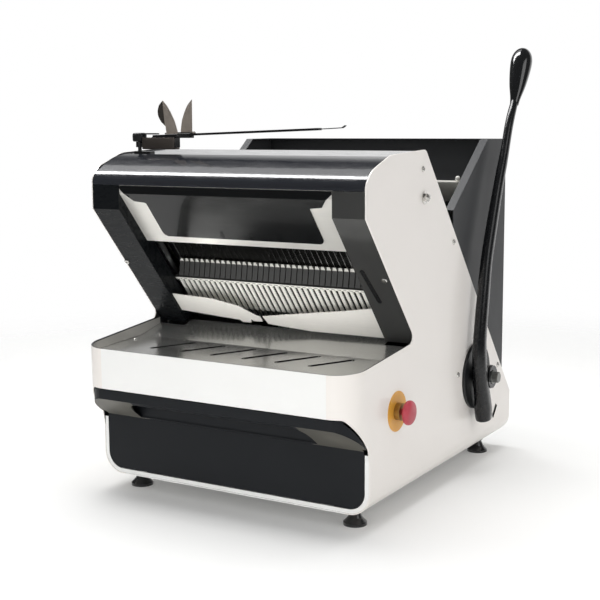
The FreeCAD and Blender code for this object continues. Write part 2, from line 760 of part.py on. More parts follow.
# ---------------------------------------------------------------- drive
def crankshaft():
    parts = []
    y, z = crank_y, crank_z
    end = chassis_x - 1.0
    w = rod_w / 2.0 + 4.0
    cuts = [-end, -throw_x - w, -throw_x + w, throw_x - w, throw_x + w, end]
    parts.append(bar_x(y, z, journal_r, cuts[0], cuts[1]))
    parts.append(bar_x(y, z, journal_r, cuts[2], cuts[3]))
    parts.append(bar_x(y, z, journal_r, cuts[4], cuts[5]))
    for side in (-1, 1):
        py, pz = st(crank_s, crank_t + side * crank_r)
        x = side * throw_x
        parts.append(bar_x(py, pz, crank_pin_r, x - w - 1.0, x + w + 1.0))
        for x0 in (x - w - web_w, x + w):
            parts.append(bar_x(y, z, web_r, x0, x0 + web_w))
    return fuse(parts)


def conrod(side):
    x = side * throw_x
    t = crank_t + side * crank_r
    y0, z0 = st(crank_s, t)
    y1, z1 = st(crank_s - rod_len, t)
    big = bar_x(y0, z0, crank_pin_r + 7.0, x - rod_w / 2, x + rod_w / 2)
    small = bar_x(y1, z1, wrist_r + 5.0, x - rod_w / 2, x + rod_w / 2)
    shank = on_incline(box(x - 4.0, x + 4.0, crank_s - rod_len, crank_s, t - 6.0, t + 6.0))
    pin = bar_x(y1, z1, wrist_r, x - rod_w / 2 - 12.0, x + rod_w / 2 + 12.0)
    rod = fuse([big, small, shank, pin])
    return rod.cut(bar_x(y0, z0, crank_pin_r + run_fit, x - rod_w, x + rod_w))


def pulley(y, z, radius, bore, hub):
    x0 = pulley_x - pulley_w / 2.0
    rim = bar_x(y, z, radius, x0, x0 + pulley_w)
    for x in (x0 - 2.0, x0 + pulley_w):
        rim = rim.fuse(bar_x(y, z, radius + 4.0, x, x + 2.0))
    rim = rim.fuse(bar_x(y, z, hub, x0 - 6.0, x0 + pulley_w + 6.0))
    return rim.cut(bar_x(y, z, bore, x0 - 10, x0 + pulley_w + 10))


def belt():
    """Flat belt round both pulleys, open run, clear of the pulley faces."""
    x0 = pulley_x - pulley_w / 2.0 + 1.0
    x1 = pulley_x + pulley_w / 2.0 - 1.0
    dy = motor_y - crank_y
    dz = motor_z - crank_z
    dist = math.hypot(dy, dz)
    base = math.atan2(dz, dy)
    wires = []
    for extra in (belt_gap, belt_gap + belt_t):
        big = drive_pulley_r + extra
        small = motor_pulley_r + extra
        off = math.acos((big - small) / dist)
        ends = []
        for side in (1, -1):
            a = base + side * off
            ends.append((vec(x0, crank_y + big * math.cos(a), crank_z + big * math.sin(a)),
                         vec(x0, motor_y + small * math.cos(a), motor_z + small * math.sin(a))))
        back = base + math.pi
        far = vec(x0, crank_y + big * math.cos(back), crank_z + big * math.sin(back))
        near = vec(x0, motor_y + small * math.cos(base), motor_z + small * math.sin(base))
        edges = [Part.LineSegment(ends[0][0], ends[0][1]).toShape(), Part.Arc(ends[0][1], near, ends[1][1]).toShape(),
                 Part.LineSegment(ends[1][1], ends[1][0]).toShape(), Part.Arc(ends[1][0], far, ends[0][0]).toShape()]
        wires.append(Part.Wire(edges))
    outer = Part.Face(wires[1]).extrude(vec(x1 - x0, 0, 0))
    return outer.cut(Part.Face(wires[0]).extrude(vec(x1 - x0, 0, 0)))


def motor():
    x0 = motor_x1 - motor_len
    body = bar_x(motor_y, motor_z, motor_r, x0, motor_x1)
    cap = bar_x(motor_y, motor_z, motor_r - 8.0, x0 - 8.0, x0)
    fan = bar_x(motor_y, motor_z, motor_r - 4.0, motor_x1, motor_x1 + 26.0)
    seat = box(x0 + 20.0, motor_x1 - 20.0, motor_y - 42.0, motor_y + 42.0, sheet, motor_z - motor_r + 14.0)
    box_top = box(x0 + 50.0, motor_x1 - 40.0, motor_y - 26.0, motor_y + 26.0, motor_z, motor_z + motor_r + 6.0)
    shape = fuse([body, cap, fan, seat, box_top])
    return shape.cut(bar_x(motor_y, motor_z, motor_shaft_r + run_fit, x0 - 10.0, x0 + 12.0))


def motor_pulley():
    x0 = motor_x1 - motor_len
    wheel = pulley(motor_y, motor_z, motor_pulley_r, 1.0, 14.0)
    shaft = bar_x(motor_y, motor_z, motor_shaft_r, pulley_x - pulley_w, x0 + 10.0)
    return wheel.fuse(shaft)


# ---------------------------------------------------------------- lever
def rocker(side):
    """Flat rocker with an open fork, standing at the rest angle of the lever."""
    h = pivot_height()
    top = h / math.cos(math.radians(lever_rest + table_slope)) + pin_r + 10.0
    bottom = h - pin_r - 2.0
    w = pin_r + fork_extra + fork_wall
    x0 = rocker_in
    flat = xy([(-14.0, 0.0), (14.0, 0.0), (w, bottom - 24.0, 8.0), (w, top, 5.0), (-w, top, 5.0),
               (-w, bottom - 24.0, 8.0)], 0.0, rocker_t)
    hub = Part.makeCylinder(rocker_hub_r, rocker_t + 7.0, vec(0, 0, -6.0))
    g = pin_r + fork_extra
    slot = xy([(-g, bottom, g * 0.98), (g, bottom, g * 0.98), (g, top + 5), (-g, top + 5)], -5, rocker_t + 5)
    shape = flat.fuse(hub).cut(slot).cut(Part.makeCylinder(shaft_r, 40.0, vec(0, 0, -20.0)))
    # local x -> +Y, local y -> +Z, local z -> +X, then the rest angle about the shaft
    turn = FreeCAD.Rotation(vec(0, 1, 0), vec(0, 0, 1), vec(1, 0, 0), "XYZ")
    shape.Placement = FreeCAD.Placement(vec(x0, pivot_y, pivot_z), turn)
    shape.rotate(vec(0, pivot_y, pivot_z), vec(1, 0, 0), -lever_rest)
    return shape if side > 0 else flip(shape)


def pivot_height():
    """Distance from the lever axis to the line of the pusher pins."""
    return -(pivot_y - table_y) * -ST - (pivot_z - table_z) * CT + pin_h


def push_travel():
    """Travel of the pusher over the swing of the lever."""
    return 2.0 * pivot_height() * math.tan(math.radians(lever_swing / 2.0))


def lever_shaft():
    return bar_x(pivot_y, pivot_z, shaft_r, -chassis_x + 1.0, arm_x + 9.0)


def lever_arm():
    """Cast arm: sections along a bent centre line, from the squared foot to the neck."""
    line = [(-0.090, -0.825, 0.130, 0.164), (-0.105, -0.745, 0.140, 0.175), (-0.145, -0.545, 0.140, 0.175),
            (-0.215, -0.275, 0.138, 0.172), (-0.302, 0.015, 0.134, 0.168), (-0.352, 0.295, 0.128, 0.162),
            (-0.368, 0.575, 0.120, 0.152), (-0.354, 0.845, 0.115, 0.145), (-0.315, 1.115, 0.113, 0.141),
            (-0.220, 1.635, 0.109, 0.136), (-0.115, 2.165, 0.102, 0.128), (0.058, 2.685, 0.099, 0.124),
            (0.262, 3.205, 0.092, 0.115), (0.483, 3.730, 0.086, 0.108), (0.733, 4.260, 0.078, 0.097),
            (0.957, 4.815, 0.076, 0.090), (1.090, 5.055, 0.074, 0.084), (1.220, 5.255, 0.068, 0.078)]
    rings = []
    count = len(line)
    for i, (y, z, rx, rn) in enumerate(line):
        a = line[max(i - 1, 0)]
        b = line[min(i + 1, count - 1)]
        d = vec(0, b[0] - a[0], b[1] - a[1])
        d.normalize()
        square = 1.14 if i < 3 else 1.06
        ring = []
        for k in range(8):
            a8 = math.radians(22.5 + 45.0 * k)
            ring.append((rx * square * math.cos(a8) * arm_grid, rn * square * math.sin(a8) * arm_grid))
        side = vec(0, d.z, -d.y)
        middle = vec(arm_x, pivot_y + y * arm_grid, pivot_z + z * arm_grid)
        spline = Part.BSplineCurve()
        spline.interpolate([middle + vec(1, 0, 0) * p[0] + side * p[1] for p in ring], PeriodicFlag=True)
        rings.append(Part.Wire([spline.toShape()]))
    arm = Part.makeLoft(rings, True, False)
    hub = bar_x(pivot_y, pivot_z, arm_hub_r, arm_x - arm_hub_half, arm_x + arm_hub_half)
    arm = arm.cut(bar_x(pivot_y, pivot_z, arm_hub_r + 3.0, arm_x + arm_hub_half, arm_x + 30.0))
    arm = arm.fuse(hub)
    return arm.cut(bar_x(pivot_y, pivot_z, shaft_r, arm_x - 30.0, arm_x + 9.0))


def turned(profile, base, axis):
    """Solid of revolution from (distance along the axis, radius) points."""
    pts = [vec(r, 0, a) for a, r in profile]
    spline = Part.BSplineCurve()
    spline.interpolate(pts)
    edges = [spline.toShape()]
    if profile[0][1] > 1e-6:
        edges.append(Part.LineSegment(vec(0, 0, profile[0][0]), pts[0]).toShape())
    if profile[-1][1] > 1e-6:
        edges.append(Part.LineSegment(pts[-1], vec(0, 0, profile[-1][0])).toShape())
    edges.append(Part.LineSegment(vec(0, 0, profile[-1][0]), vec(0, 0, profile[0][0])).toShape())
    face = Part.Face(Part.Wire(Part.__sortEdges__(edges)))
    solid = face.revolve(vec(0, 0, 0), vec(0, 0, 1), 360)
    solid.Placement = FreeCAD.Placement(base, FreeCAD.Rotation(vec(0, 0, 1), axis))
    return solid


def lever_grip():
    """Turned grip on the neck of the arm: (share of the length, share of the length as radius)."""
    base = vec(arm_x, pivot_y + 1.220 * arm_grid, pivot_z + 5.215 * arm_grid)
    axis = vec(0, 0.426, 1.0)
    profile = [(0.0, 0.072), (0.10, 0.084), (0.27, 0.122), (0.49, 0.158), (0.69, 0.1765), (0.86, 0.160),
               (0.958, 0.101), (1.0, 0.0)]
    return turned([(a * grip_len, r * grip_len) for a, r in profile], base, axis)


def hub_ring():
    ring = bar_x(pivot_y, pivot_z, boss_r, arm_x + arm_hub_half, arm_x + arm_hub_half + 4.0)
    return ring


def hub_bolt():
    z = pivot_z
    y = pivot_y
    r = 10.5
    pts = [(y + r * math.cos(math.radians(60 * k + 10)), z + r * math.sin(math.radians(60 * k + 10)))
           for k in range(6)]
    head = yz(pts, arm_x + 15.5, bolt_end)
    washer = bar_x(y, z, 13.5, arm_x + 14.0, arm_x + 15.5)
    return head.fuse(washer)


def hub_cover():
    plate = bar_x(pivot_y, pivot_z, cover_r, half, half + cover_t)
    edge = [e for e in plate.Edges if abs(e.BoundBox.XMin - (half + cover_t)) < 0.01]
    plate = plate.makeFillet(2.0, edge[:1])
    return plate.cut(bar_x(pivot_y, pivot_z, shaft_r + 1.5, half - 1, half + cover_t + 1))


# ---------------------------------------------------------------- loaf table and pusher
def loaf_table():
    far = (hop_y1 - hop_sheet - 2.5 * fit - table_y) / CT
    wide = inner - hop_sheet - fit
    narrow = chassis_x - fit
    step = (hop_y0 + 8.0 - table_y) / CT
    notch = table_front + 26.0
    plate = xy([(-strip_in, table_front), (strip_in, table_front), (strip_in, notch), (narrow, notch),
                (narrow, step), (wide, step), (wide, far), (-wide, far), (-wide, step), (-narrow, step),
                (-narrow, notch), (-strip_in, notch)], -table_sheet, 0.0)
    x0 = rocker_in - 3.5
    x1 = rocker_in + rocker_t + 3.5
    u0 = pin_u() - push_travel() - slot_spare
    u1 = pin_u() + slot_spare
    for side in (-1, 1):
        a, b = sorted((side * x0, side * x1))
        plate = plate.cut(xy([(a, u0, 6.0), (b, u0, 6.0), (b, u1, 6.0), (a, u1, 6.0)], -10, 10))
    for side in (-1, 1):
        a, b = sorted((side * narrow, side * (narrow - table_sheet)))
        plate = plate.fuse(box(a, b, notch, step, -20.0, -table_sheet))
    plate = plate.fuse(box(-strip_in, strip_in, table_front, table_front + table_sheet, -14.0, -table_sheet))
    return on_table(plate)


def lean_u(u, m):
    """Point of a line parallel to the blades through (u, 0) on the table, at the height m."""
    return (u - m * math.tan(math.radians(lean - table_slope)), m)


def pusher_plate():
    th = push_sheet / math.cos(math.radians(lean - table_slope))
    pts = [lean_u(push_u, 2.0), lean_u(push_u, 2.0 + push_h), lean_u(push_u + th, 2.0 + push_h),
           lean_u(push_u + th, 2.0)]
    plate = yz(pts, -push_half, push_half)
    a = lean_u(push_u, push_h + 2.0)
    hem = yz([a, (a[0] + 14.0, a[1]), (a[0] + 14.0, a[1] - push_sheet), (a[0], a[1] - push_sheet)],
             -push_half, push_half)
    return on_table(plate.fuse(hem))


def pusher_tines():
    out = []
    u1 = push_u
    u0 = push_u - tine_len
    for i in range(fingers):
        x = (i - (fingers - 1) / 2.0) * pitch
        pts = [lean_u(u1, tine_gap), lean_u(u0, tine_gap), lean_u(u0, tine_gap + tine_h),
               (u0 + 18.0, tine_gap + tine_h), lean_u(u1, 30.0)]
        out.append(yz(pts, x - tine_t / 2.0, x + tine_t / 2.0))
    return [on_table(t) for t in out]


def pin_u():
    h = pivot_height()
    foot = (pivot_y - table_y) * CT + (pivot_z - table_z) * ST
    return foot + h * math.tan(math.radians(lever_rest + table_slope))


def pusher_carriage():
    th = push_sheet / math.cos(math.radians(lean - table_slope))
    u = push_u + th
    p = pin_u()
    bar = yz([lean_u(u, 6.0), lean_u(u, 24.0), (u + 6.0, 24.0), (u + 15.0, 18.0), (u + 15.0, 6.0)],
             -push_half - 17.0, push_half + 17.0)
    parts = [bar]
    for side in (-1, 1):
        x0, x1 = sorted((side * (push_half + 11.0), side * (push_half + 17.0)))
        parts.append(yz([(p - 11.0, fit, 3.0), (u + 15.0, fit, 3.0), (u + 15.0, 18.0), (u + 2.0, pin_h + 11.0, 5.0),
                         (p - 11.0, pin_h + 11.0, 8.0)], x0, x1))
        a, b = sorted((side * (push_half + 12.0), side * (rocker_in + rocker_t + 6.0)))
        parts.append(bar_x(p, pin_h, pin_r, a, b))
    return on_table(fuse(parts))


def pusher_knob():
    a = lean_u(push_u, push_h + 2.0)
    ball = Part.makeSphere(knob_r, vec(push_half - knob_r - 2.0, a[0] + 7.0, a[1] + knob_r + 1.0))
    stem = Part.makeCylinder(2.5, knob_r, vec(push_half - knob_r - 2.0, a[0] + 7.0, a[1]))
    return on_table(ball.fuse(stem))


# ---------------------------------------------------------------- hopper
def hopper_side(side):
    x1 = inner
    x0 = inner - hop_sheet
    lap = hop_lap
    wall = yz([(hop_y0, rear_low_z(hop_y0, lap)), (hop_y0, hop_z0), (hop_fold_y, hop_top), (hop_y1, hop_top),
               (hop_y1, rear_low_z(hop_y1, 5.0)), (hop_y1 - 12.0, rear_low_z(hop_y1 - 12.0, lap))], x0, x1)
    flange = yz(bent([(hop_y0, hop_z0), (hop_fold_y, hop_top), (hop_y1 - hop_sheet, hop_top)], -hop_sheet),
                x1 - hop_flange, x1)
    shape = wall.fuse(flange)
    return shape if side > 0 else flip(shape)


def hopper_rear():
    x = inner - hop_sheet
    low = rear_low_z(hop_y1, 4.5)
    wall = box(-x, x, hop_y1 - hop_sheet, hop_y1, low, hop_top)
    flange = box(-x + hop_flange, x - hop_flange, hop_y1 - hop_flange, hop_y1, hop_top - hop_sheet, hop_top)
    return wall.fuse(flange)


# ---------------------------------------------------------------- drawer
def drawer_hull(off, reach):
    """Rounded front and plan outline that the drawer front and its lip follow."""
    h = half - flange_w - drawer_gap
    r = low_r - flange_w - drawer_gap
    front = xz([(-h, top_z), (-h, drawer_z, r), (h, drawer_z, r), (h, top_z)], 0.0, reach)
    front = front.fuse(box(-half, half, 0.0, reach, drawer_fold_z + 6.0, top_z))
    y = sheet + lip_gap + off
    h = half - y
    w = wrap_r - y
    plan = xy([(-h, y, w), (h, y, w), (h, body_d), (-h, body_d)], 0.0, top_z)
    return front.common(plan)


def drawer_front():
    """Flat front, slanted upper part and lip of one sheet, with the long hand opening."""
    y = setback
    space = drawer_hull(0.0, y + 20.0)
    line = [(y, drawer_z), (y, drawer_fold_z), (lip_y, lip_z0), (lip_y, lip_z1), (lip_y + 20.0, lip_z1)]
    skin = yz(bent(line, -sheet), -half, half)
    skin = skin.common(space)
    low_z = drawer_fold_z + 8.0
    low_y = y - 8.0 * (y - lip_y) / (lip_z0 - drawer_fold_z)
    side = yz([(lip_y, lip_z1 - 0.5), (lip_y, lip_z0), (low_y, low_z), (low_y + 1.6, low_z),
               (lip_y + 4.3, lip_z1 - 0.5)], -half, half)
    band = space.cut(drawer_hull(sheet, y + 20.0)).common(side)
    low = drawer_fold_z - 8.0
    high = lip_z0 - 6.0
    hand = xz([(grip_x0, low, 4.0), (grip_x0, high, grip_r), (grip_x1, high, grip_r), (grip_x1, low, 4.0)],
              lip_y + sheet + 1.0, y - 2.0)
    back = box(grip_x0 - 16.0, grip_x1 + 16.0, y, y + sheet, low - 8.0, lip_z1 - 2.0)
    return fuse([skin.cut(hand), back, band]).removeSplitter()


def drawer_tray():
    x = tray_half
    y0 = setback + sheet
    y1 = y0 + tray_len
    z0 = flange_w + 2 * fit
    outer = box(-x, x, y0, y1, z0, z0 + tray_h)
    hollow = box(-x + sheet, x - sheet, y0 + sheet, y1 - sheet, z0 + sheet, z0 + tray_h + 5.0)
    return outer.cut(hollow)


# ---------------------------------------------------------------- emergency stop
def stop_plate():
    ring = bar_x(stop_y, stop_z, stop_plate_r, half, half + 1.0)
    return ring.cut(bar_x(stop_y, stop_z, 11.5, half - 1, half + 2))


def stop_body():
    collar = bar_x(stop_y, stop_z, stop_collar_r, half + 1.0, half + stop_collar_out)
    neck = bar_x(stop_y, stop_z, 11.0, half - 12.0, half + 1.0)
    nut = bar_x(stop_y, stop_z, 16.0, half - sheet - 5.0, half - sheet)
    block = box(chassis_x + chassis_t + fit, half - sheet - 5.0, stop_y - 15, stop_y + 15,
                stop_z - 20, stop_z + 20)
    shape = fuse([collar, neck, nut, block])
    return shape.cut(bar_x(stop_y, stop_z, 6.0 + run_fit, half - 10.0, half + 20.0))


def stop_button():
    out = half + stop_collar_out + stop_travel + stop_spare
    head = turned([(0.0, 16.5), (3.0, stop_head_r), (8.0, stop_head_r - 0.5), (12.0, 14.0), (13.5, 0.0)],
                  vec(out, stop_y, stop_z), vec(1, 0, 0))
    stem = bar_x(stop_y, stop_z, 6.0, half - 4.0, out + 1.0)
    return head.fuse(stem)


# ---------------------------------------------------------------- feet
def feet():
    out = []
    for x, y in ((foot_x_front, foot_y_front), (foot_x_rear, foot_y_rear)):
        for side in (-1, 1):
            base = vec(side * x, y, -foot_h)
            pts = [(0, 0), (foot_r, 0), (foot_r, 5.0), (foot_r - 3.0, 8.0), (foot_r * 0.62, 13.0),
                   (foot_r * 0.45, 20.0), (foot_r * 0.42, foot_h - 6.0), (foot_r * 0.55, foot_h - 6.0),
                   (foot_r * 0.55, foot_h - 1.0), (6.0, foot_h - 1.0), (6.0, foot_h), (0, foot_h)]
            wire = Part.makePolygon([vec(p[0], 0, p[1]) for p in pts] + [vec(0, 0, 0)])
            foot = Part.Face(wire).revolve(vec(0, 0, 0), vec(0, 0, 1), 360)
            foot.translate(base)
            out.append(foot)
    return out


# ---------------------------------------------------------------- bag holder on the hood
def hood_top(y):
    """Height of the flat top of the hood."""
    y0 = vertex_y + 87.0
    z0 = top_z - 6.0 - hood_inset
    y1 = rear_line(top_z, hood_inset) - 6.0
    return z0 + (top_z - hood_inset - z0) * (y - y0) / (y1 - y0)


def bag_base():
    """Black foot on the hood with the steel post that carries the swivel arm."""
    z = hood_top(bag_y + 7.0)
    pad = yz([(bag_y - 7.0, hood_top(bag_y - 7.0)), (bag_y + 7.0, z), (bag_y + 7.0, z + 3.5),
              (bag_y - 7.0, z + 3.5)], bag_x - 8.0, bag_x + 29.0)
    post = Part.makeCylinder(bag_post_r, bag_z - z + 5.0, vec(bag_x, bag_y, z + 2.0))
    return pad.fuse(post)


def bag_knob():
    h = bag_knob_h
    r = bag_knob_r
    knob = turned([(0.0, 0.80 * r), (0.08 * h, 0.96 * r), (0.30 * h, r), (0.78 * h, r), (0.92 * h, 0.94 * r),
                   (0.99 * h, 0.78 * r), (h, 0.0)], vec(bag_x, bag_y, bag_z + bag_hub_up), vec(0, 0, 1))
    return knob.cut(Part.makeCylinder(bag_post_r + run_fit, 8.0, vec(bag_x, bag_y, bag_z - 1.0)))


def bag_line(x):
    """Height of the underside of the arm along X."""
    x0 = bag_x + bag_block_in
    return bag_z + bag_arm_up + bag_arm_rise * (x - x0) / (bag_arm_end - x0)


def bag_arm():
    """Swivel hub, bracket, block and the long rising arm with its thin turned-up tail."""
    z1 = bag_z - fit
    z0 = z1 - bag_hub_h
    hub = Part.makeCylinder(bag_hub_r, bag_hub_h + bag_hub_up, vec(bag_x, bag_y, z0))
    x0 = bag_x + bag_block_in
    x1 = x0 + bag_block
    bracket = box(bag_x + bag_post_r + 1.0, x0 + 1.0, bag_y - 6.0, bag_y + 6.0, z0, z0 + bag_bracket_h)
    block = xz([(x0, z0 - 3.0), (x1, z0), (x1, bag_line(x1) + 1.0), (x0, bag_line(x0) + 1.0)],
               bag_y - 8.0, bag_y + 8.0)
    w = bag_arm_w / 2.0
    end = bag_arm_end
    bar = xz([(x0, bag_line(x0)), (end, bag_line(end)), (end, bag_line(end) + bag_arm_t),
              (x0, bag_line(x0) + bag_arm_t)], bag_y - w, bag_y + w)
    z = bag_line(end) + 1.0
    tail = xz([(end - 4.0, z), (end + 44.0, z + 2.4), (end + 50.0, z + 6.2), (end + 49.2, z + 7.4),
               (end + 43.4, z + 3.8), (end - 4.0, z + 1.5)], bag_y - 3.0, bag_y + 3.0)
    shape = fuse([hub, bracket, block, bar, tail])
    return shape.cut(Part.makeCylinder(bag_post_r + run_fit, 40.0, vec(bag_x, bag_y, z0 - 10.0)))


def leaf(points, z, y):
    """One upright leaf from shares of its height: across from the gap, up, corner radius."""
    line = [(leaf_x + p[0] * leaf_h, z + p[1] * leaf_h, *[r * leaf_h for r in p[2:]]) for p in points]
    return xz(line, y, y + 1.0)


def bag_leaves():
    """Two thin upright leaves on a clamp over the arm."""
    left_x = leaf_x - 0.50 * leaf_h
    right_x = leaf_x + 0.53 * leaf_h
    over = bag_arm_t + 0.3
    clamp = xz([(left_x, bag_line(left_x) + over), (right_x, bag_line(right_x) + over),
                (right_x, bag_line(right_x) + over + 3.0), (left_x, bag_line(left_x) + over + 3.0)],
               bag_y - 4.5, bag_y + 4.5)
    left = leaf([(-0.453, 0.0), (-0.488, 0.23), (-0.525, 0.255), (-0.650, 0.36, 0.15), (-0.750, 0.51, 0.25),
                 (-0.780, 0.677, 0.25), (-0.723, 0.865, 0.25), (-0.575, 1.0), (-0.420, 0.843, 0.5),
                 (-0.293, 0.655, 0.5), (-0.142, 0.382, 0.5), (-0.040, 0.078), (-0.033, 0.0)],
                bag_line(leaf_x) + over + 0.3, bag_y - 3.0)
    right = leaf([(0.062, 0.0), (0.062, 0.088), (0.112, 0.382, 0.5), (0.213, 0.633, 0.5), (0.315, 0.822, 0.5),
                  (0.490, 1.0), (0.483, 0.0)], bag_line(right_x) + over + 0.3, bag_y - 1.0)
    return clamp.fuse([left, right])


# ---------------------------------------------------------------- output
def write_all():
    os.makedirs("parts", exist_ok=True)
    left, right, band, pan = housing()
    pieces = {
        "side_panel_left": left,
        "side_panel_right": right,
        "front_band": band,
        "base_pan": pan,
        "drawer_frame": drawer_frame(),
        "rear_cover": rear_cover(),
        "mains_gland": mains_gland(),
        "slice_tray": slice_tray(),
        "hood": hood(),
        "rear_guard": rear_guard(),
        "strip_left": strip(-1),
        "strip_right": strip(1),
        "guard_plate": guard_plate(),
        "shield": shield(),
        "outfeed_plate_left": outfeed(-1),
        "outfeed_plate_right": outfeed(1),
        "comb_front": comb_front(),
        "comb_rear": comb_rear(),
        "loaf_table": loaf_table(),
        "hopper_wall_left": hopper_side(-1),
        "hopper_wall_right": hopper_side(1),
        "hopper_wall_rear": hopper_rear(),
        "chassis_left": chassis(-1),
        "chassis_right": chassis(1),
        "guide_rods": guide_rods(),
        "crank_bearings": bearing_pair(crank_y, crank_z, journal_r, bearing_r),
        "shaft_bearings": bearing_pair(pivot_y, pivot_z, shaft_r, bearing_r + 2.0),
        "motor": motor(),
        "drive_belt": belt(),
        "hub_cover": hub_cover(),
        "stop_plate": stop_plate(),
        "stop_body": stop_body(),
        "bag_base": bag_base(),
        "feet": feet(),
        "blade_frame_a": frame_bars(frame_a_t, -1),
        "blades_a": blades(0, frame_a_t),
        "blade_frame_b": frame_bars(frame_b_t, 1),
        "blades_b": blades(1, frame_b_t),
        "crankshaft": crankshaft(),
        "drive_pulley": pulley(crank_y, crank_z, drive_pulley_r, journal_r, 22.0),
        "conrod_a": conrod(-1),
        "conrod_b": conrod(1),
        "motor_pulley": motor_pulley(),
        "lever_shaft": lever_shaft(),
        "rocker_left": rocker(-1),
        "rocker_right": rocker(1),
        "lever_arm": lever_arm().cut(lever_grip()),
        "lever_grip": lever_grip(),
        "hub_ring": hub_ring(),
        "hub_bolt": hub_bolt(),
        "pusher_plate": pusher_plate(),
        "pusher_tines": pusher_tines(),
        "pusher_carriage": pusher_carriage(),
        "pusher_knob": pusher_knob(),
        "drawer_front": drawer_front(),
        "drawer_tray": drawer_tray(),
        "stop_button": stop_button(),
        "bag_knob": bag_knob(),
        "bag_arm": bag_arm(),
        "bag_leaves": bag_leaves(),
    }
    shift = vec(-(bolt_end - half) / 2.0, -(body_d + gland_out) / 2.0, foot_h)
    for name, shape in pieces.items():
        if isinstance(shape, list):
            shape = Part.makeCompound(shape)
        shape = shape.copy()
        shape.translate(shift)
        solids = shape.Solids
        if len(solids) == 1:
            shape = solids[0]
        shape.exportStep("parts/" + name + ".step")
        b = shape.BoundBox
        print(name, len(solids), round(shape.Volume / 1000.0, 1), shape.isValid(),
              [round(v, 1) for v in (b.XMin, b.XMax, b.YMin, b.YMax, b.ZMin, b.ZMax)])


write_all()
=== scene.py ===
"""Table-top frame bread slicer: finishes, small parts, stage, light and camera."""

import math

import bmesh
import bpy
from mathutils import Matrix, Vector


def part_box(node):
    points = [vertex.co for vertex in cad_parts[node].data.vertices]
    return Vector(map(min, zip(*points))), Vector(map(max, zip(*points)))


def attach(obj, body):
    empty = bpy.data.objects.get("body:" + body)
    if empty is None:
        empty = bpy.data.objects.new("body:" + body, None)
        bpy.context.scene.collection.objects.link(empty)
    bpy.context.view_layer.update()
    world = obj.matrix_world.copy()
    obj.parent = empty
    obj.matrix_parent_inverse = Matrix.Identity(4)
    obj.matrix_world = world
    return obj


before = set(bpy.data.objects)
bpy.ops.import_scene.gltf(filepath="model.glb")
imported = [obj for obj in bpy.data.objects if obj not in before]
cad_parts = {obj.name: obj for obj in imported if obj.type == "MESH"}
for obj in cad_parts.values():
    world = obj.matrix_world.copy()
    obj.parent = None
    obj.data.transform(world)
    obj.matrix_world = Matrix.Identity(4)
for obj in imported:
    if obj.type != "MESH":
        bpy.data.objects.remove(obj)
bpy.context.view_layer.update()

bl_info = {
    "name": "Frame bread slicer",
    "version": (1, 0, 0),
    "blender": (4, 5, 0),
    "location": "View3D > Sidebar > Slicer",
    "description": "Finishes, small parts and stage of a table-top frame bread slicer",
    "category": "Object",
}

# ------------------------------------------------------------------ places on the machine
# Machine coordinates are in millimetres: x from the middle of the housing, y from the front rim
# to the back, z up from the bottom of the housing.
MM = 0.001
left_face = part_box("side_panel_left")[0].x
right_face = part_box("side_panel_right")[1].x
front_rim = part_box("front_band")[0].y
housing_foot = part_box("side_panel_right")[0].z
RIGHT = Vector((1, 0, 0))
BACK = Vector((0, 1, 0))


def spot(x, y, z):
    """A machine coordinate in millimetres as a place in the frame, in metres."""
    middle = (left_face + right_face) / 2
    return Vector((middle + x * MM, front_rim + y * MM, housing_foot + z * MM))


half_width = (right_face - left_face) / 2 / MM
VERTEX = (45.5, 495.0)          # y and z of the nose, where the front incline starts
LEAN = math.radians(40)         # of the front incline from upright
DOWN_INCLINE = Vector((0, math.sin(LEAN), -math.cos(LEAN)))
INTO_INCLINE = Vector((0, math.cos(LEAN), math.sin(LEAN)))


def on_incline(x, down):
    """A place on the front incline, so many millimetres down its slope from the nose."""
    return spot(x, *VERTEX) + DOWN_INCLINE * down * MM


# The comb's zones lie at these depths behind the incline's face, in metres; between the wing depth
# and the tip depth the comb is painted darker as painted shade.
COMB_WING_SHADE = (0.0390, 0.0400)
COMB_TIP = (0.0632, 0.0645)

# The tray rises to the back; its top is at this height at the front rim.
TRAY_RISE = 0.045
TRAY_TOP = 234.5
TRAY_SLOTS = 6
SLOT_START = (-185.5, 90.6)     # x and y of the left slot's front end
SLOT_RUN = (45, 64)             # from a slot's front end to its back end
SLOT_PITCH = 67.3
SLOT_WIDTH = 0.0095             # metres, with the dark rim of painted shade
TRAY_SCREW = (-262, 136)

# Places of the screws and small parts, in machine millimetres.
PANEL_SCREWS = ((256, 567), (392, 429), (420, 175), (624, 158))      # y and z, on both sides
HOOD_BOLT = (263.5, 517.5)                                           # y and z
STRIP_SCREWS = ((267, 141), (-275, 138))    # x, and how far down the incline
PLUG_ENDS = ((231, 119), (241, 200))        # x, and how far down the incline
SLEEVE = ((-238, 141, 600), (-164, 159, 621.5))                      # low and high corner
TONGUE = ((-250, 143, 627.0), (-209, 157, 629.6))
PADS = (((-160, 142, 620.8), (-131, 158, 625.4)), ((-157, 142, 629.0), (-127, 158, 631.0)))
LEAF_FOLD = (-188.2, 148.0, 643.0)          # where the leaves turn over
MIDDLE = (0, 330, 300)                      # inside the housing

# Sizes of the small parts, in metres.
FLUSH_HEIGHT = 0.0008           # of the left panel's screw heads, which sit nearly flush
PLUG_WIDTH = 0.0084
DRAWER_REFLECTION_ENDS = 0.172              # from the drawer's middle to its ends with the painted reflection
COVER_INSET = 0.014             # from the rear cover's edges to its screws
AIR_SLOT = (0.050, 0.005)
AIR_COLUMNS = (-0.12, 0.12)     # from the cover's middle
AIR_ROWS = 7
AIR_PITCH = 0.014
AIR_FOOT = 0.06                 # from the cover's foot to the lowest air slot

CAMERA_PLACE = (1142.2313, -1608.4054, 646.9230)    # in machine millimetres
CAMERA_ANGLES = (30.76466, 8.529537, -0.35566)      # yaw, pitch and roll in degrees
SENSOR_WIDTH = 36.0


def tray_height(y):
    """Height of the tray's top at a distance from the front rim."""
    return TRAY_TOP + TRAY_RISE * y


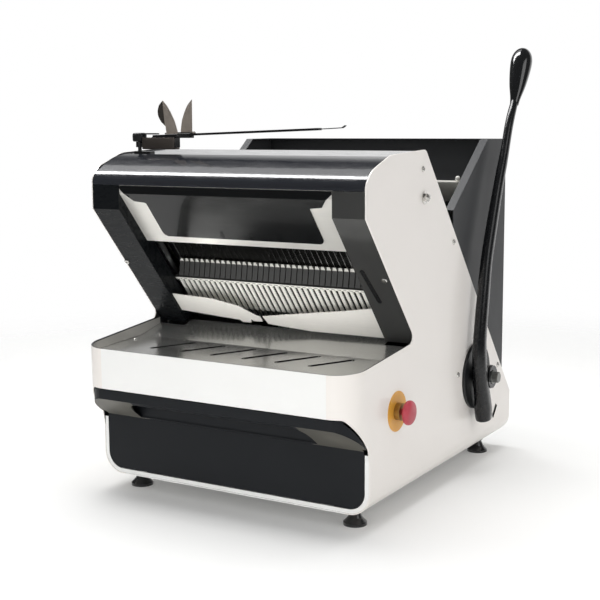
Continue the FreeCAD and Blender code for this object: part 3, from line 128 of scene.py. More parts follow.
# ------------------------------------------------------------------ shader helpers
def shade(red, green, blue):
    """A display colour, 0 to 255, as the linear colour that a shader takes."""
    out = []
    for value in (red, green, blue):
        value = value / 255.0
        out.append(value / 12.92 if value <= 0.04045 else ((value + 0.055) / 1.055) ** 2.4)
    return (*out, 1.0)


class Network:
    """The nodes and links of one material or of the world."""

    def __init__(self, tree):
        self.nodes = tree.nodes
        self.links = tree.links

    def add(self, kind, values=None, **settings):
        """A new node; each value is a number, a colour or another node's output."""
        node = self.nodes.new(kind)
        for key, value in settings.items():
            setattr(node, key, value)
        for key, value in (values or {}).items():
            if isinstance(value, bpy.types.NodeSocket):
                self.links.new(value, node.inputs[key])
            else:
                node.inputs[key].default_value = value
        return node

    def ramp(self, source, low, high, start=0.0, end=1.0, **settings):
        """Maps source from low..high to start..end."""
        values = {"Value": source, "From Min": low, "From Max": high,
                  "To Min": start, "To Max": end}
        return self.add("ShaderNodeMapRange", values, **settings).outputs[0]

    def maths(self, operation, first, second):
        return self.add("ShaderNodeMath", {0: first, 1: second}, operation=operation).outputs[0]

    def inverse(self, source):
        return self.maths("SUBTRACT", 1.0, source)

    def dot(self, first, second):
        values = {0: first, 1: second}
        return self.add("ShaderNodeVectorMath", values, operation="DOT_PRODUCT").outputs["Value"]

    def rays(self):
        """1 for what a mirror or glass shows, and 1 for that and what the camera sees."""
        path = self.add("ShaderNodeLightPath").outputs
        mirror = self.maths("MAXIMUM", path["Is Glossy Ray"], path["Is Transmission Ray"])
        return mirror, self.maths("MAXIMUM", path["Is Camera Ray"], mirror)


class Surface(Network):
    """One finish of the machine, built from shader nodes on Object coordinates."""

    def __init__(self, name, colour, rough, metal=0.0, coat=0.0, coat_rough=0.05, specular=0.5):
        self.material = bpy.data.materials.new(name)
        self.material.use_nodes = True
        super().__init__(self.material.node_tree)
        self.shader = self.nodes["Principled BSDF"]
        values = {"Base Color": colour, "Roughness": rough, "Metallic": metal, "Coat Weight": coat,
                  "Coat Roughness": coat_rough, "Specular IOR Level": specular}
        for key, value in values.items():
            self.shader.inputs[key].default_value = value
        self.place = self.add("ShaderNodeTexCoord").outputs["Object"]
        self.height = None

    def stretched(self, scale):
        return self.add("ShaderNodeMapping", {"Vector": self.place, "Scale": scale}).outputs[0]

    def noise(self, scale, detail=3.0, where=None, rough=0.55):
        values = {"Vector": where or self.place, "Scale": scale, "Detail": detail,
                  "Roughness": rough}
        return self.add("ShaderNodeTexNoise", values).outputs["Fac"]

    def cells(self, scale):
        node = self.add("ShaderNodeTexVoronoi", {"Vector": self.place, "Scale": scale})
        return node.outputs["Distance"]

    def roughen(self, source):
        self.links.new(source, self.shader.inputs["Roughness"])

    def upright(self):
        """How far a face looks up: 1 for a floor, 0 for a wall, -1 for an underside."""
        normal = self.add("ShaderNodeTexCoord").outputs["Normal"]
        return self.add("ShaderNodeSeparateXYZ", {"Vector": normal}).outputs["Z"]

    def along(self, direction, origin):
        """Distance from an origin along a direction, in metres."""
        moved = self.add("ShaderNodeVectorMath", {0: self.place, 1: tuple(origin)},
                         operation="SUBTRACT")
        return self.dot(moved.outputs[0], tuple(direction))

    def outside(self, centre):
        """1 on faces that look away from a centre, 0 on faces that look to it."""
        coords = self.add("ShaderNodeTexCoord").outputs
        away = self.add("ShaderNodeVectorMath", {0: coords["Object"], 1: tuple(centre)},
                        operation="SUBTRACT")
        return self.maths("GREATER_THAN", self.dot(coords["Normal"], away.outputs[0]), 0.0)

    def overlay(self, factor, colour):
        """Lays a colour over the present one by a factor."""
        socket = self.shader.inputs["Base Color"]
        mix = self.add("ShaderNodeMix", {"Factor": factor}, data_type="RGBA")
        if socket.links:
            self.links.new(socket.links[0].from_socket, mix.inputs[6])
        else:
            mix.inputs[6].default_value = socket.default_value
        mix.inputs[7].default_value = colour
        self.links.new(mix.outputs[2], socket)
        return self

    def cloud(self, source, colour, dark, light, low=0.3, high=0.7):
        """Shades the colour between two factors of itself."""
        mix = self.add("ShaderNodeMix", {"Factor": self.ramp(source, low, high)}, data_type="RGBA")
        mix.inputs[6].default_value = tone(colour, dark)
        mix.inputs[7].default_value = tone(colour, light)
        self.links.new(mix.outputs[2], self.shader.inputs["Base Color"])

    def relief(self, height, distance):
        """Adds one more layer of small relief, in metres."""
        values = {"Height": height, "Distance": distance, "Strength": 1.0}
        if self.height is not None:
            values["Normal"] = self.height
        self.height = self.add("ShaderNodeBump", values).outputs[0]
        self.links.new(self.height, self.shader.inputs["Normal"])
        return self


def tone(colour, factor):
    """A colour made lighter or darker by a factor."""
    return (*(min(1.0, c * factor) for c in colour[:3]), 1.0)


def powder_coat(name, colour, rough, grain=0.00003, coat=0.0, contrast=0.04, specular=0.5):
    """Baked enamel or powder coat: fine orange peel, faint cloudiness, some rubbing."""
    surface = Surface(name, colour, rough, coat=coat, coat_rough=0.12, specular=specular)
    surface.cloud(surface.noise(9.0, 4.0), colour, 1 - contrast, 1 + contrast)
    wipe = surface.noise(2.0, 2.0, surface.stretched((2.0, 5.0, 3.0)))
    surface.roughen(surface.ramp(wipe, 0.3, 0.7, rough * 0.94, rough * 1.08))
    return surface.relief(surface.noise(700.0, 2.0), grain)


def housing_coat(name, colour):
    """White enamel, dusty at its foot; faces that look into the machine are painted near black, as
    painted shade of the machine's inside.
    """
    surface = powder_coat(name, colour, 0.34, 0.00002, 0.25, 0.008)
    # Painted shade: faces that look into the machine are made near black, standing in for the
    # shade inside it.
    surface.overlay(surface.inverse(surface.outside(spot(*MIDDLE))), shade(30, 30, 31))
    height = surface.add("ShaderNodeSeparateXYZ", {"Vector": surface.place}).outputs["Z"]
    low = surface.ramp(height, housing_foot, housing_foot + 0.05, 0.10, 0.0)
    dust = surface.maths("MULTIPLY", low, surface.ramp(surface.noise(30.0, 5.0), 0.42, 0.66))
    return surface.overlay(dust, shade(196, 188, 174))


def comb_steel(name, colour):
    """Ground comb of light steel: its wing between the slots is painted darker as painted shade,
    so the round tips and the legs stand out bright; faces that look up are painted dark as painted
    shade.
    """
    surface = Surface(name, colour, 0.40, metal=0.10)
    deep = surface.along(INTO_INCLINE, spot(0, *VERTEX))
    lines = surface.noise(1.0, 4.0, surface.stretched((900.0, 20.0, 20.0)), 0.7)
    surface.cloud(lines, colour, 0.86, 1.12)
    # Painted shade on the wing, deep in the throat.
    wing = surface.maths("MULTIPLY", surface.ramp(deep, *COMB_WING_SHADE),
                         surface.inverse(surface.ramp(deep, *COMB_TIP)))
    surface.overlay(wing, shade(78, 78, 77))
    # Painted shade on the comb's faces that look up.
    surface.overlay(surface.maths("GREATER_THAN", surface.upright(), 0.5), shade(60, 60, 59))
    surface.roughen(surface.ramp(lines, 0.3, 0.7, 0.26, 0.42))
    return surface.relief(lines, 0.00001)


def tray_steel(name, colour):
    """Satin sheet of the tray; the walls of its slots are painted near black as painted shade."""
    surface = brushed(name, colour, 0.20, (10.0, 1500.0, 1500.0), 0.000006, 0.3, 0.06)
    edge = surface.maths("LESS_THAN", surface.maths("ABSOLUTE", surface.upright(), 0.0), 0.7)
    above = surface.along((0.0, -TRAY_RISE, 1.0), spot(0, 0, TRAY_TOP))
    under = surface.maths("LESS_THAN", above, 0.00012)
    # Painted shade: the slot walls below the tray's top are made near black.
    cut = surface.maths("MULTIPLY", edge, under)
    surface.overlay(cut, shade(16, 16, 16))
    wall = surface.maths("MULTIPLY", edge, surface.inverse(under))
    surface.overlay(wall, shade(205, 203, 198))
    plain = surface.maths("ADD", cut, surface.maths("MULTIPLY", wall, 0.55))
    surface.links.new(surface.ramp(plain, 0.0, 1.0, 0.78, 0.0), surface.shader.inputs["Metallic"])
    return surface


def drawer_coat(name, colour):
    """Satin black drawer front; its slanted undersides are painted brownish grey at both ends, as
    a painted reflection.
    """
    surface = powder_coat(name, colour, 0.42, 0.00003, 0.0, 0.06, specular=0.16)
    low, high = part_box("drawer_front")
    across = surface.along(RIGHT, (low + high) / 2)
    ends = surface.maths("GREATER_THAN", surface.maths("ABSOLUTE", across, 0.0), DRAWER_REFLECTION_ENDS)
    # Painted reflection on the faces that look down, at both ends.
    end_reflection = surface.ramp(surface.noise(14.0, 4.0), 0.3, 0.75, 0.60, 0.95)
    end_reflection = surface.maths("MULTIPLY", surface.ramp(surface.upright(), -0.20, -0.45), end_reflection)
    return surface.overlay(surface.maths("MULTIPLY", end_reflection, ends), shade(104, 102, 95))


def leaf_steel(name, colour):
    """Thin spring steel leaves, their turned-over lobe in the shade."""
    surface = Surface(name, colour, 0.42, metal=0.6)
    surface.cloud(surface.noise(60.0, 4.0), colour, 0.88, 1.1)
    lobe = surface.along((-1.0, 0.0, -0.10), spot(*LEAF_FOLD))
    surface.overlay(surface.ramp(lobe, 0.0, 0.0006), tone(colour, 0.16))
    grain = surface.noise(1.0, 3.0, surface.stretched((500.0, 500.0, 60.0)))
    return surface.relief(grain, 0.00001)


def gloss_sheet(name, colour, rough, coat, specular=0.3):
    """High gloss stove enamel on thin sheet, with the slow waves that a folded sheet has."""
    surface = Surface(name, colour, rough, coat=coat, coat_rough=0.04, specular=specular)
    surface.cloud(surface.noise(6.0, 2.0), colour, 0.93, 1.07)
    smear = surface.noise(12.0, 5.0, surface.stretched((2.0, 8.0, 8.0)))
    surface.roughen(surface.ramp(smear, 0.35, 0.7, rough, rough * 1.7))
    surface.relief(surface.noise(6.0, 0.0, surface.stretched((0.4, 1.0, 1.0))), 0.0006)
    return surface.relief(surface.noise(1400.0, 2.0), 0.000006)


def brushed(name, colour, rough, run, depth=0.00001, spread=0.35, contrast=0.10):
    """Ground sheet metal: hair lines along one direction, slow tone changes, a few wipe marks."""
    surface = Surface(name, colour, rough, metal=1.0)
    lines = surface.noise(1.0, 4.0, surface.stretched(run), 0.7)
    patch = surface.noise(11.0, 4.0, surface.stretched((1.0, 3.0, 3.0)))
    both = surface.maths("ADD", surface.maths("MULTIPLY", lines, 0.6),
                         surface.maths("MULTIPLY", patch, 0.4))
    surface.cloud(both, colour, 1 - contrast, 1 + contrast, 0.35, 0.65)
    surface.roughen(surface.ramp(both, 0.3, 0.7, rough * (1 - spread), rough * (1 + spread)))
    return surface.relief(lines, depth)


def moulded(name, colour, rough, grain=0.00002, speck=900.0, coat=0.0, contrast=0.06):
    """Moulded plastic or rubber: a fine leathery skin with soft tone changes."""
    surface = Surface(name, colour, rough, coat=coat, coat_rough=0.1)
    surface.cloud(surface.noise(25.0, 3.0), colour, 1 - contrast, 1 + contrast)
    surface.roughen(surface.ramp(surface.noise(60.0, 4.0), 0.3, 0.7, rough * 0.8, rough * 1.25))
    return surface.relief(surface.cells(speck), grain)


def cast_paint(name, colour, rough):
    """Black paint over cast iron: low lumps under it, and small pits."""
    surface = Surface(name, colour, rough, coat=0.3, coat_rough=0.10, specular=0.3)
    surface.cloud(surface.noise(40.0, 4.0), colour, 0.85, 1.2)
    surface.roughen(surface.ramp(surface.noise(90.0, 4.0), 0.3, 0.7, rough * 0.75, rough * 1.4))
    surface.relief(surface.noise(70.0, 3.0), 0.00016)
    return surface.relief(surface.noise(600.0, 3.0), 0.00006)


def plated(name, colour, rough, scale):
    """Zinc plated or turned steel: cloudy patches and small dings."""
    surface = Surface(name, colour, rough, metal=1.0)
    surface.cloud(surface.cells(scale), colour, 0.88, 1.08, 0.1, 0.8)
    surface.roughen(surface.ramp(surface.noise(90.0, 4.0), 0.3, 0.7, rough * 0.7, rough * 1.35))
    return surface.relief(surface.noise(500.0, 3.0), 0.00001)


finishes = {}


# Hair lines: how fast the noise changes along x, y and z.
SHEET_LINES = (10.0, 1500.0, 1500.0)
PLATE_LINES = (14.0, 900.0, 900.0)
OUTFEED_LINES = (60.0, 300.0, 300.0)
BAR_LINES = (900.0, 60.0, 60.0)
FRAME_LINES = (12.0, 700.0, 700.0)
SLEEVE_LINES = (30.0, 700.0, 700.0)


def make_finishes(colours):
    """Fills finishes with all the finishes of the machine, by name."""
    def own(name):
        return tuple(getattr(colours, name))

    made = {
        "enamel": housing_coat("white_enamel_coat", own("enamel")),
        # Painted light: the side panels take the same white enamel, tinted warmer to stand in for
        # warm light falling on them.
        "enamel_side": housing_coat("white_enamel_sides", own("sides")),
        "hood": gloss_sheet("hood_gloss", own("hood"), 0.16, 0.55),
        "shield": gloss_sheet("shield_gloss", own("shield"), 0.12, 0.30, 0.2),
        # The two side strips are one paint: the left is made darker as painted shade, the right
        # lighter and glossier as painted light.
        "strip": gloss_sheet("strip_gloss", own("strip"), 0.22, 0.05, 0.1),
        "strip_lit": gloss_sheet("strip_gloss_right", shade(58, 58, 57), 0.16, 0.5, 0.4),
        "hopper": powder_coat("hopper_satin", own("hopper"), 0.46, 0.00004, 0.0, 0.05, 0.3),
        # Painted shade: the rear guard is made near black, standing in for the shade inside the
        # machine.
        "guard": powder_coat("rear_guard_dark", shade(22, 22, 23), 0.7, 0.00004, 0.0, 0.1, 0.1),
        "drawer": drawer_coat("drawer_satin", own("drawer")),
        "steel": brushed("inner_steel", own("steel"), 0.24, SHEET_LINES, 0.000006, 0.3, 0.06),
        "tray": tray_steel("tray_steel", own("steel")),
        "plate": brushed("plate_steel", own("plate"), 0.42, PLATE_LINES, 0.00001, 0.25, 0.04),
        "outfeed": brushed("outfeed_steel", shade(238, 235, 228), 0.50, OUTFEED_LINES,
                           0.00001, 0.2, 0.03),
        "comb": comb_steel("comb_steel", own("comb")),
        "dark_steel": brushed("dark_steel", shade(104, 104, 101), 0.34, BAR_LINES),
        # Painted shade: the blades' steel is made dark, for the shade between the comb's legs.
        "blade": brushed("blade_steel_ground", own("blade"), 0.24, BAR_LINES),
        "leaf": leaf_steel("leaf_spring_steel", shade(176, 166, 156)),
        "aluminium": brushed("frame_aluminium", shade(176, 178, 180), 0.38, FRAME_LINES),
        "zinc": plated("zinc_plate", shade(150, 152, 151), 0.42, 120.0),
        "bolt": plated("bolt_zinc", shade(150, 151, 148), 0.50, 900.0),
        "brass": plated("collar_metal", shade(176, 150, 96), 0.42, 400.0),
        "bright": plated("screw_zinc", shade(214, 212, 208), 0.22, 700.0),
        "motor": powder_coat("motor_grey_coat", shade(122, 126, 130), 0.45),
        "lever": cast_paint("lever_cast", shade(17, 18, 20), 0.24),
        "grip": moulded("grip_gloss", shade(14, 15, 17), 0.14, 0.000005, 300.0, 0.8),
        "plastic": moulded("black_plastic_grain", shade(24, 25, 27), 0.42),
        "gloss": moulded("black_gloss_plastic", shade(18, 18, 20), 0.22, 0.000006, 500.0, 0.5),
        "rubber": moulded("rubber_black", shade(26, 26, 27), 0.55, 0.00004, 500.0),
        "red": moulded("red_mushroom", own("button"), 0.40, 0.00001, 700.0, 0.15, 0.08),
        "label": moulded("label_plain", own("label"), 0.45, 0.00001, 900.0, 0.1, 0.05),
        "knob": moulded("white_knob", shade(232, 230, 224), 0.30, 0.00001, 700.0, 0.3, 0.02),
        "sleeve": brushed("sleeve_steel", shade(134, 126, 120), 0.38, SLEEVE_LINES),
        # Painted shade: this near-black finish stands in for the shade in openings and round
        # slots.
        "recess": moulded("dark_recess", shade(14, 14, 15), 0.70),
    }
    made["plate"].shader.inputs["Metallic"].default_value = 0.5
    made["outfeed"].shader.inputs["Metallic"].default_value = 0.02
    finishes.update({name: surface.material for name, surface in made.items()})


NODE_FINISH = {
    "enamel": ("front_band", "base_pan", "drawer_frame", "rear_cover"),
    "enamel_side": ("side_panel_left", "side_panel_right"),
    "hood": ("hood",),
    "shield": ("shield",),
    "strip": ("strip_left",),
    "strip_lit": ("strip_right",),
    "hopper": ("hopper_wall_left", "hopper_wall_right", "hopper_wall_rear"),
    "guard": ("rear_guard",),
    "drawer": ("drawer_front",),
    "tray": ("slice_tray",),
    "steel": ("drawer_tray", "loaf_table"),
    "plate": ("guard_plate", "pusher_plate"),
    "outfeed": ("outfeed_plate_left", "outfeed_plate_right"),
    "leaf": ("bag_leaves",),
    "comb": ("comb_front",),
    "dark_steel": ("comb_rear", "pusher_tines", "guide_rods", "crankshaft", "lever_shaft"),
    "blade": ("blades_a", "blades_b"),
    "aluminium": ("blade_frame_a", "blade_frame_b", "conrod_a", "conrod_b", "pusher_carriage"),
    "zinc": ("chassis_left", "chassis_right", "rocker_left", "rocker_right", "crank_bearings",
             "shaft_bearings", "drive_pulley", "motor_pulley"),
    "bolt": ("hub_bolt",),
    "motor": ("motor",),
    "lever": ("lever_arm", "hub_ring"),
    "grip": ("lever_grip",),
    "plastic": ("mains_gland", "hub_cover", "bag_knob"),
    "gloss": ("feet", "bag_arm", "bag_base"),
    "rubber": ("drive_belt",),
    "red": ("stop_button",),
    "label": ("stop_plate",),
    "knob": ("pusher_knob",),
    "brass": ("stop_body",),
}


# ------------------------------------------------------------------ modelling helpers
def clear_pick():
    """Leaves edit mode and deselects everything."""
    if bpy.context.object is not None and bpy.context.object.mode != "OBJECT":
        bpy.ops.object.mode_set(mode="OBJECT")
    bpy.ops.object.select_all(action="DESELECT")


def edit_faces(test):
    """In edit mode, selects the faces that pass a test on (centre, normal)."""
    if bpy.context.object.mode != "EDIT":
        bpy.ops.object.mode_set(mode="EDIT")
    bpy.ops.mesh.select_mode(type="FACE")
    bpy.ops.mesh.select_all(action="DESELECT")
    mesh = bmesh.from_edit_mesh(bpy.context.object.data)
    for face in mesh.faces:
        face.select_set(test(face.calc_center_median(), face.normal))
    mesh.select_flush(True)
    bmesh.update_edit_mesh(bpy.context.object.data)


def edit_edges(test):
    """In edit mode, selects the edges that pass a test on their two ends."""
    if bpy.context.object.mode != "EDIT":
        bpy.ops.object.mode_set(mode="EDIT")
    bpy.ops.mesh.select_mode(type="EDGE")
    bpy.ops.mesh.select_all(action="DESELECT")
    mesh = bmesh.from_edit_mesh(bpy.context.object.data)
    for edge in mesh.edges:
        edge.select_set(test(edge.verts[0].co, edge.verts[1].co))
    bmesh.update_edit_mesh(bpy.context.object.data)


def pick(*pieces):
    """Selects these pieces alone; the first is the active one."""
    clear_pick()
    for piece in pieces:
        piece.select_set(True)
    bpy.context.view_layer.objects.active = pieces[0]


def settle():
    """Applies place, turn and scale of what is selected."""
    bpy.ops.object.transform_apply(location=True, rotation=True, scale=True)


def raise_faces(height):
    """In edit mode, extrudes the selected faces upward."""
    bpy.ops.mesh.extrude_region_move(TRANSFORM_OT_translate={"value": (0, 0, height)})


def refine(piece, kind, **settings):
    """Applies one modifier to a piece."""
    pick(piece)
    modifier = piece.modifiers.new("step", kind)
    for key, value in settings.items():
        setattr(modifier, key, value)
    bpy.ops.object.modifier_apply(modifier=modifier.name)


def carve(piece, cutter):
    """Cuts one mesh out of another and removes the cutter."""
    refine(piece, "BOOLEAN", operation="DIFFERENCE", solver="EXACT", object=cutter)
    bpy.data.objects.remove(cutter)


def join(pieces):
    """Makes one piece of several."""
    pick(*pieces)
    if len(pieces) > 1:
        bpy.ops.object.join()
    return bpy.context.object


def facing(place, outward, turn=0.0):
    """Puts a part modelled upright at the origin on a face, its top pointing outward.

    The turn in radians is about its own axis, so that screws don't all stand alike."""
    spin = Vector(outward).to_track_quat("Z", "Y").to_matrix().to_4x4()
    return Matrix.Translation(place) @ spin @ Matrix.Rotation(turn, 4, "Z")


def place_copies(pattern, name, places):
    """One piece of copies of a pattern, which is removed."""
    clear_pick()
    copies = []
    for matrix in places:
        copy = pattern.copy()
        copy.data = pattern.data.copy()
        bpy.context.collection.objects.link(copy)
        copy.matrix_world = matrix
        copies.append(copy)
    bpy.data.objects.remove(pattern)
    piece = join(copies)
    settle()
    piece.name = name
    return piece


def dress(piece, finish, body):
    """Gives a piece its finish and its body."""
    piece.data.materials.clear()
    piece.data.materials.append(finishes[finish])
    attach(piece, body)


def round_blank(radius, height, sides=32):
    """Upright cylinder or prism, standing on the origin."""
    clear_pick()
    bpy.ops.mesh.primitive_cylinder_add(vertices=sides, radius=radius, depth=height,
                                        location=(0, 0, height / 2))
    settle()
    return bpy.context.object


def long_blank(length, width):
    """Flat blank with round ends, left in edit mode with its face selected."""
    clear_pick()
    bpy.ops.mesh.primitive_plane_add(size=1.0)
    blank = bpy.context.object
    blank.scale = (length, width, 1.0)
    settle()
    bpy.ops.object.mode_set(mode="EDIT")
    bpy.ops.mesh.select_all(action="SELECT")
    bpy.ops.mesh.bevel(offset=width * 0.49, segments=6, affect="VERTICES")
    bpy.ops.mesh.select_mode(type="FACE")
    bpy.ops.mesh.select_all(action="SELECT")
    return blank


def smooth_by_angle(piece):
    """Smooth shading, with edges over 35 degrees left sharp."""
    pick(piece)
    bpy.ops.object.shade_smooth_by_angle(angle=math.radians(35.0))
    return piece


def plain_box(low, high, soft):
    """Box between two machine coordinates, at its place, with softened edges."""
    clear_pick()
    low, high = spot(*low), spot(*high)
    bpy.ops.mesh.primitive_cube_add(size=1.0)
    piece = bpy.context.object
    piece.scale = high - low
    piece.location = (low + high) / 2
    settle()
    refine(piece, "BEVEL", width=soft, segments=2)
    return smooth_by_angle(piece)


def dome_blank(radius, height, share):
    """Screw head blank whose top rim is rounded over a share of its height."""
    head = round_blank(radius, height)
    edit_edges(lambda a, b: a.z > height * 0.9 and b.z > height * 0.9)
    bpy.ops.mesh.bevel(offset=height * share, offset_type="OFFSET", segments=5, profile=0.5)
    bpy.ops.object.mode_set(mode="OBJECT")
    clear_pick()
    return head


def button_screw(radius, height, socket):
    """Dome head screw with a hexagon socket, standing on the origin."""
    head = dome_blank(radius, height, 0.85)
    bpy.ops.mesh.primitive_cylinder_add(vertices=6, radius=socket, depth=height * 2,
                                        location=(0, 0, height * 1.35))
    carve(head, bpy.context.object)
    return smooth_by_angle(head)


def pan_screw(radius, height):
    """Pan head screw with a cross recess, standing on the origin."""
    head = dome_blank(radius, height, 0.7)
    for turn in (0.0, math.pi / 2):
        clear_pick()
        bpy.ops.mesh.primitive_cone_add(vertices=4, radius1=radius * 0.10, radius2=radius * 0.62,
                                        depth=height, location=(0, 0, height * 0.85))
        cutter = bpy.context.object
        cutter.scale = (1.0, 0.26, 1.0)
        cutter.rotation_euler = (0, 0, turn)
        settle()
        carve(head, cutter)
    return smooth_by_angle(head)


# ------------------------------------------------------------------ settings
def paint(name, description, default):
    """A colour that the user can set."""
    return bpy.props.FloatVectorProperty(
        name=name, description=description, subtype="COLOR", size=4, default=default)


def metres(name, description, default):
    """A length in metres that the user can set."""
    return bpy.props.FloatProperty(
        name=name, description=description, unit="LENGTH", default=default)


def watts(name, description, default):
    """A lamp's power in watts that the user can set."""
    return bpy.props.FloatProperty(
        name=name, description=description, unit="POWER", default=default)


def number(name, description, default):
    """A plain number that the user can set."""
    return bpy.props.FloatProperty(name=name, description=description, default=default)


class SlicerColours(bpy.types.PropertyGroup):
    """Colours of the painted, moulded and metal parts."""
    enamel: paint("Enamel", "White powder coat of the housing", shade(243, 243, 241))
    # Painted light: this warmer white of the side panels stands in for warm light; they are the
    # same enamel as the front.
    sides: paint("Side enamel", "Slightly warmer white of the side panels", shade(241, 236, 231))
    hood: paint("Hood", "Gloss paint of the hood", shade(36, 38, 43))
    shield: paint("Shield", "Gloss black of the shield", shade(15, 16, 17))
    # Painted shade: the left strip's colour is darker than the right strip's, though both are the
    # same paint.
    strip: paint("Left strip", "Dark paint of the left side strip", shade(20, 22, 24))
    hopper: paint("Hopper", "Dark paint of the hopper walls", shade(50, 51, 53))
    drawer: paint("Drawer", "Dark paint of the drawer front", shade(28, 30, 33))
    steel: paint("Tray steel", "Ground steel of the tray", shade(200, 200, 197))
    plate: paint("Plate steel", "Light steel of the guard plate", shade(232, 230, 224))
    comb: paint("Comb steel", "Steel of the comb", shade(248, 244, 236))
    # Painted shade: this dark blade steel stands in for the shade in the throat, not for the
    # polished steel's own colour.
    blade: paint("Blade steel", "Polished steel of the blades", shade(84, 84, 82))
    button: paint("Stop button", "Red of the mushroom head", shade(182, 62, 76))
    label: paint("Button plate", "Yellow of the round plate", shade(224, 164, 62))


class SlicerScrews(bpy.types.PropertyGroup):
    """Sizes of the visible screws."""
    panel_radius: metres("Panel screw radius", "Head radius of the side panel screws", 0.0052)
    panel_height: metres("Panel screw height", "Head height of the side panel screws", 0.0026)
    bolt_radius: metres("Hood bolt radius", "Radius of the hood bolt's washer", 0.0115)


class SlicerStage(bpy.types.PropertyGroup):
    """Camera, floor and light."""
    lens: number("Lens", "Focal length of the camera in millimetres", 70.93)
    world: number("World light", "Strength of the even light all round", 0.44)
    front: number("Dark flags", "Brightness in reflections of all but the far background", 0.10)
    key: watts("Key light", "Power of the large lamp at the front", 3.0)
    low: watts("Low light", "Power of the lamp that looks up into the throat", 6.2)
    bounce: watts("Bounce light", "Power of the small card over the tray", 0.22)
    fill: watts("Fill light", "Power of the lamp at the right", 13.0)
    top: watts("Top light", "Power of the lamp overhead", 72.0)
    stripe: watts("Stripe light", "Power of the narrow lamp that draws the hood's shine", 95.0)
    reach: metres("Floor radius", "Radius of the pale floor disc", 2.4)
    glow: number("Floor glow", "White added to the floor where it is seen", 0.08)
    floor: paint("Floor", "Colour of the floor", (0.86, 0.86, 0.85, 1.0))


# ------------------------------------------------------------------ operators
class SLICER_OT_finishes(bpy.types.Operator):
    """Gives every carried-over part its finish"""
    bl_idname = "slicer.finishes"
    bl_label = "Finishes"

    def execute(self, context):
        make_finishes(context.scene.slicer_colours)
        for finish, names in NODE_FINISH.items():
            for name in names:
                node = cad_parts[name]
                node.data.materials.clear()
                node.data.materials.append(finishes[finish])
                for face in node.data.polygons:
                    face.material_index = 0
        left = set(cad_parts) - {name for names in NODE_FINISH.values() for name in names}
        if left:
            raise RuntimeError("parts without a finish: " + ", ".join(sorted(left)))
        return {"FINISHED"}


class SLICER_OT_panel_screws(bpy.types.Operator):
    """Dome head screws of both side panels"""
    bl_idname = "slicer.panel_screws"
    bl_label = "Panel screws"

    def execute(self, context):
        sizes = context.scene.slicer_screws
        for side, out, height in (("right", 1, sizes.panel_height), ("left", -1, FLUSH_HEIGHT)):
            places = [facing(spot(out * half_width, y, z), RIGHT * out, 0.4 * i)
                      for i, (y, z) in enumerate(PANEL_SCREWS)]
            screw = button_screw(sizes.panel_radius, height, sizes.panel_radius * 0.48)
            dress(place_copies(screw, "panel_screws_" + side, places), "bright", "base")
        return {"FINISHED"}


class SLICER_OT_hood_bolt(bpy.types.Operator):
    """Washer and domed nut of the hood's hinge bolt on the right panel"""
    bl_idname = "slicer.hood_bolt"
    bl_label = "Hood bolt"

    def execute(self, context):
        radius = context.scene.slicer_screws.bolt_radius
        washer = round_blank(radius, 0.0016, 40)
        edit_faces(lambda centre, normal: normal.z > 0.9)
        bpy.ops.mesh.inset(thickness=radius * 0.12)
        raise_faces(0.0003)
        smooth_by_angle(washer)
        nut = round_blank(radius * 0.66, 0.0075, 6)
        edit_faces(lambda centre, normal: normal.z > 0.9)
        for inset, rise in ((0.10, 0.0015), (0.16, 0.0014)):
            bpy.ops.mesh.inset(thickness=radius * inset)
            raise_faces(rise)
        bpy.ops.object.mode_set(mode="OBJECT")
        refine(nut, "BEVEL", width=0.0006, segments=2)
        smooth_by_angle(nut)
        place = [facing(spot(half_width, *HOOD_BOLT), RIGHT, 0.3)]
        bolt = place_copies(join([nut, washer]), "hood_bolt", place)
        dress(bolt, "bright", "base")
        return {"FINISHED"}


class SLICER_OT_strip_screws(bpy.types.Operator):
    """Dome head screws of the two side strips, and the black slot plug of the right strip"""
    bl_idname = "slicer.strip_screws"
    bl_label = "Strip screws"

    def execute(self, context):
        sizes = context.scene.slicer_screws
        places = [facing(on_incline(x, down), -INTO_INCLINE, x) for x, down in STRIP_SCREWS]
        screw = button_screw(sizes.panel_radius * 1.05, sizes.panel_height * 0.9,
                             sizes.panel_radius * 0.5)
        dress(place_copies(screw, "strip_screws", places), "bright", "base")
        first, last = (on_incline(*end) for end in PLUG_ENDS)
        plug = long_blank((last - first).length, PLUG_WIDTH)
        raise_faces(0.0009)
        bpy.ops.mesh.inset(thickness=0.0009)
        raise_faces(0.0004)
        bpy.ops.object.mode_set(mode="OBJECT")
        smooth_by_angle(plug)
        run = (last - first).normalized()
        out = -INTO_INCLINE
        out = (out - run * out.dot(run)).normalized()
        turn = Matrix((run, out.cross(run), out)).transposed().to_4x4()
        place = Matrix.Translation((first + last) / 2) @ turn
        dress(place_copies(plug, "strip_plug", [place]), "gloss", "base")
        return {"FINISHED"}


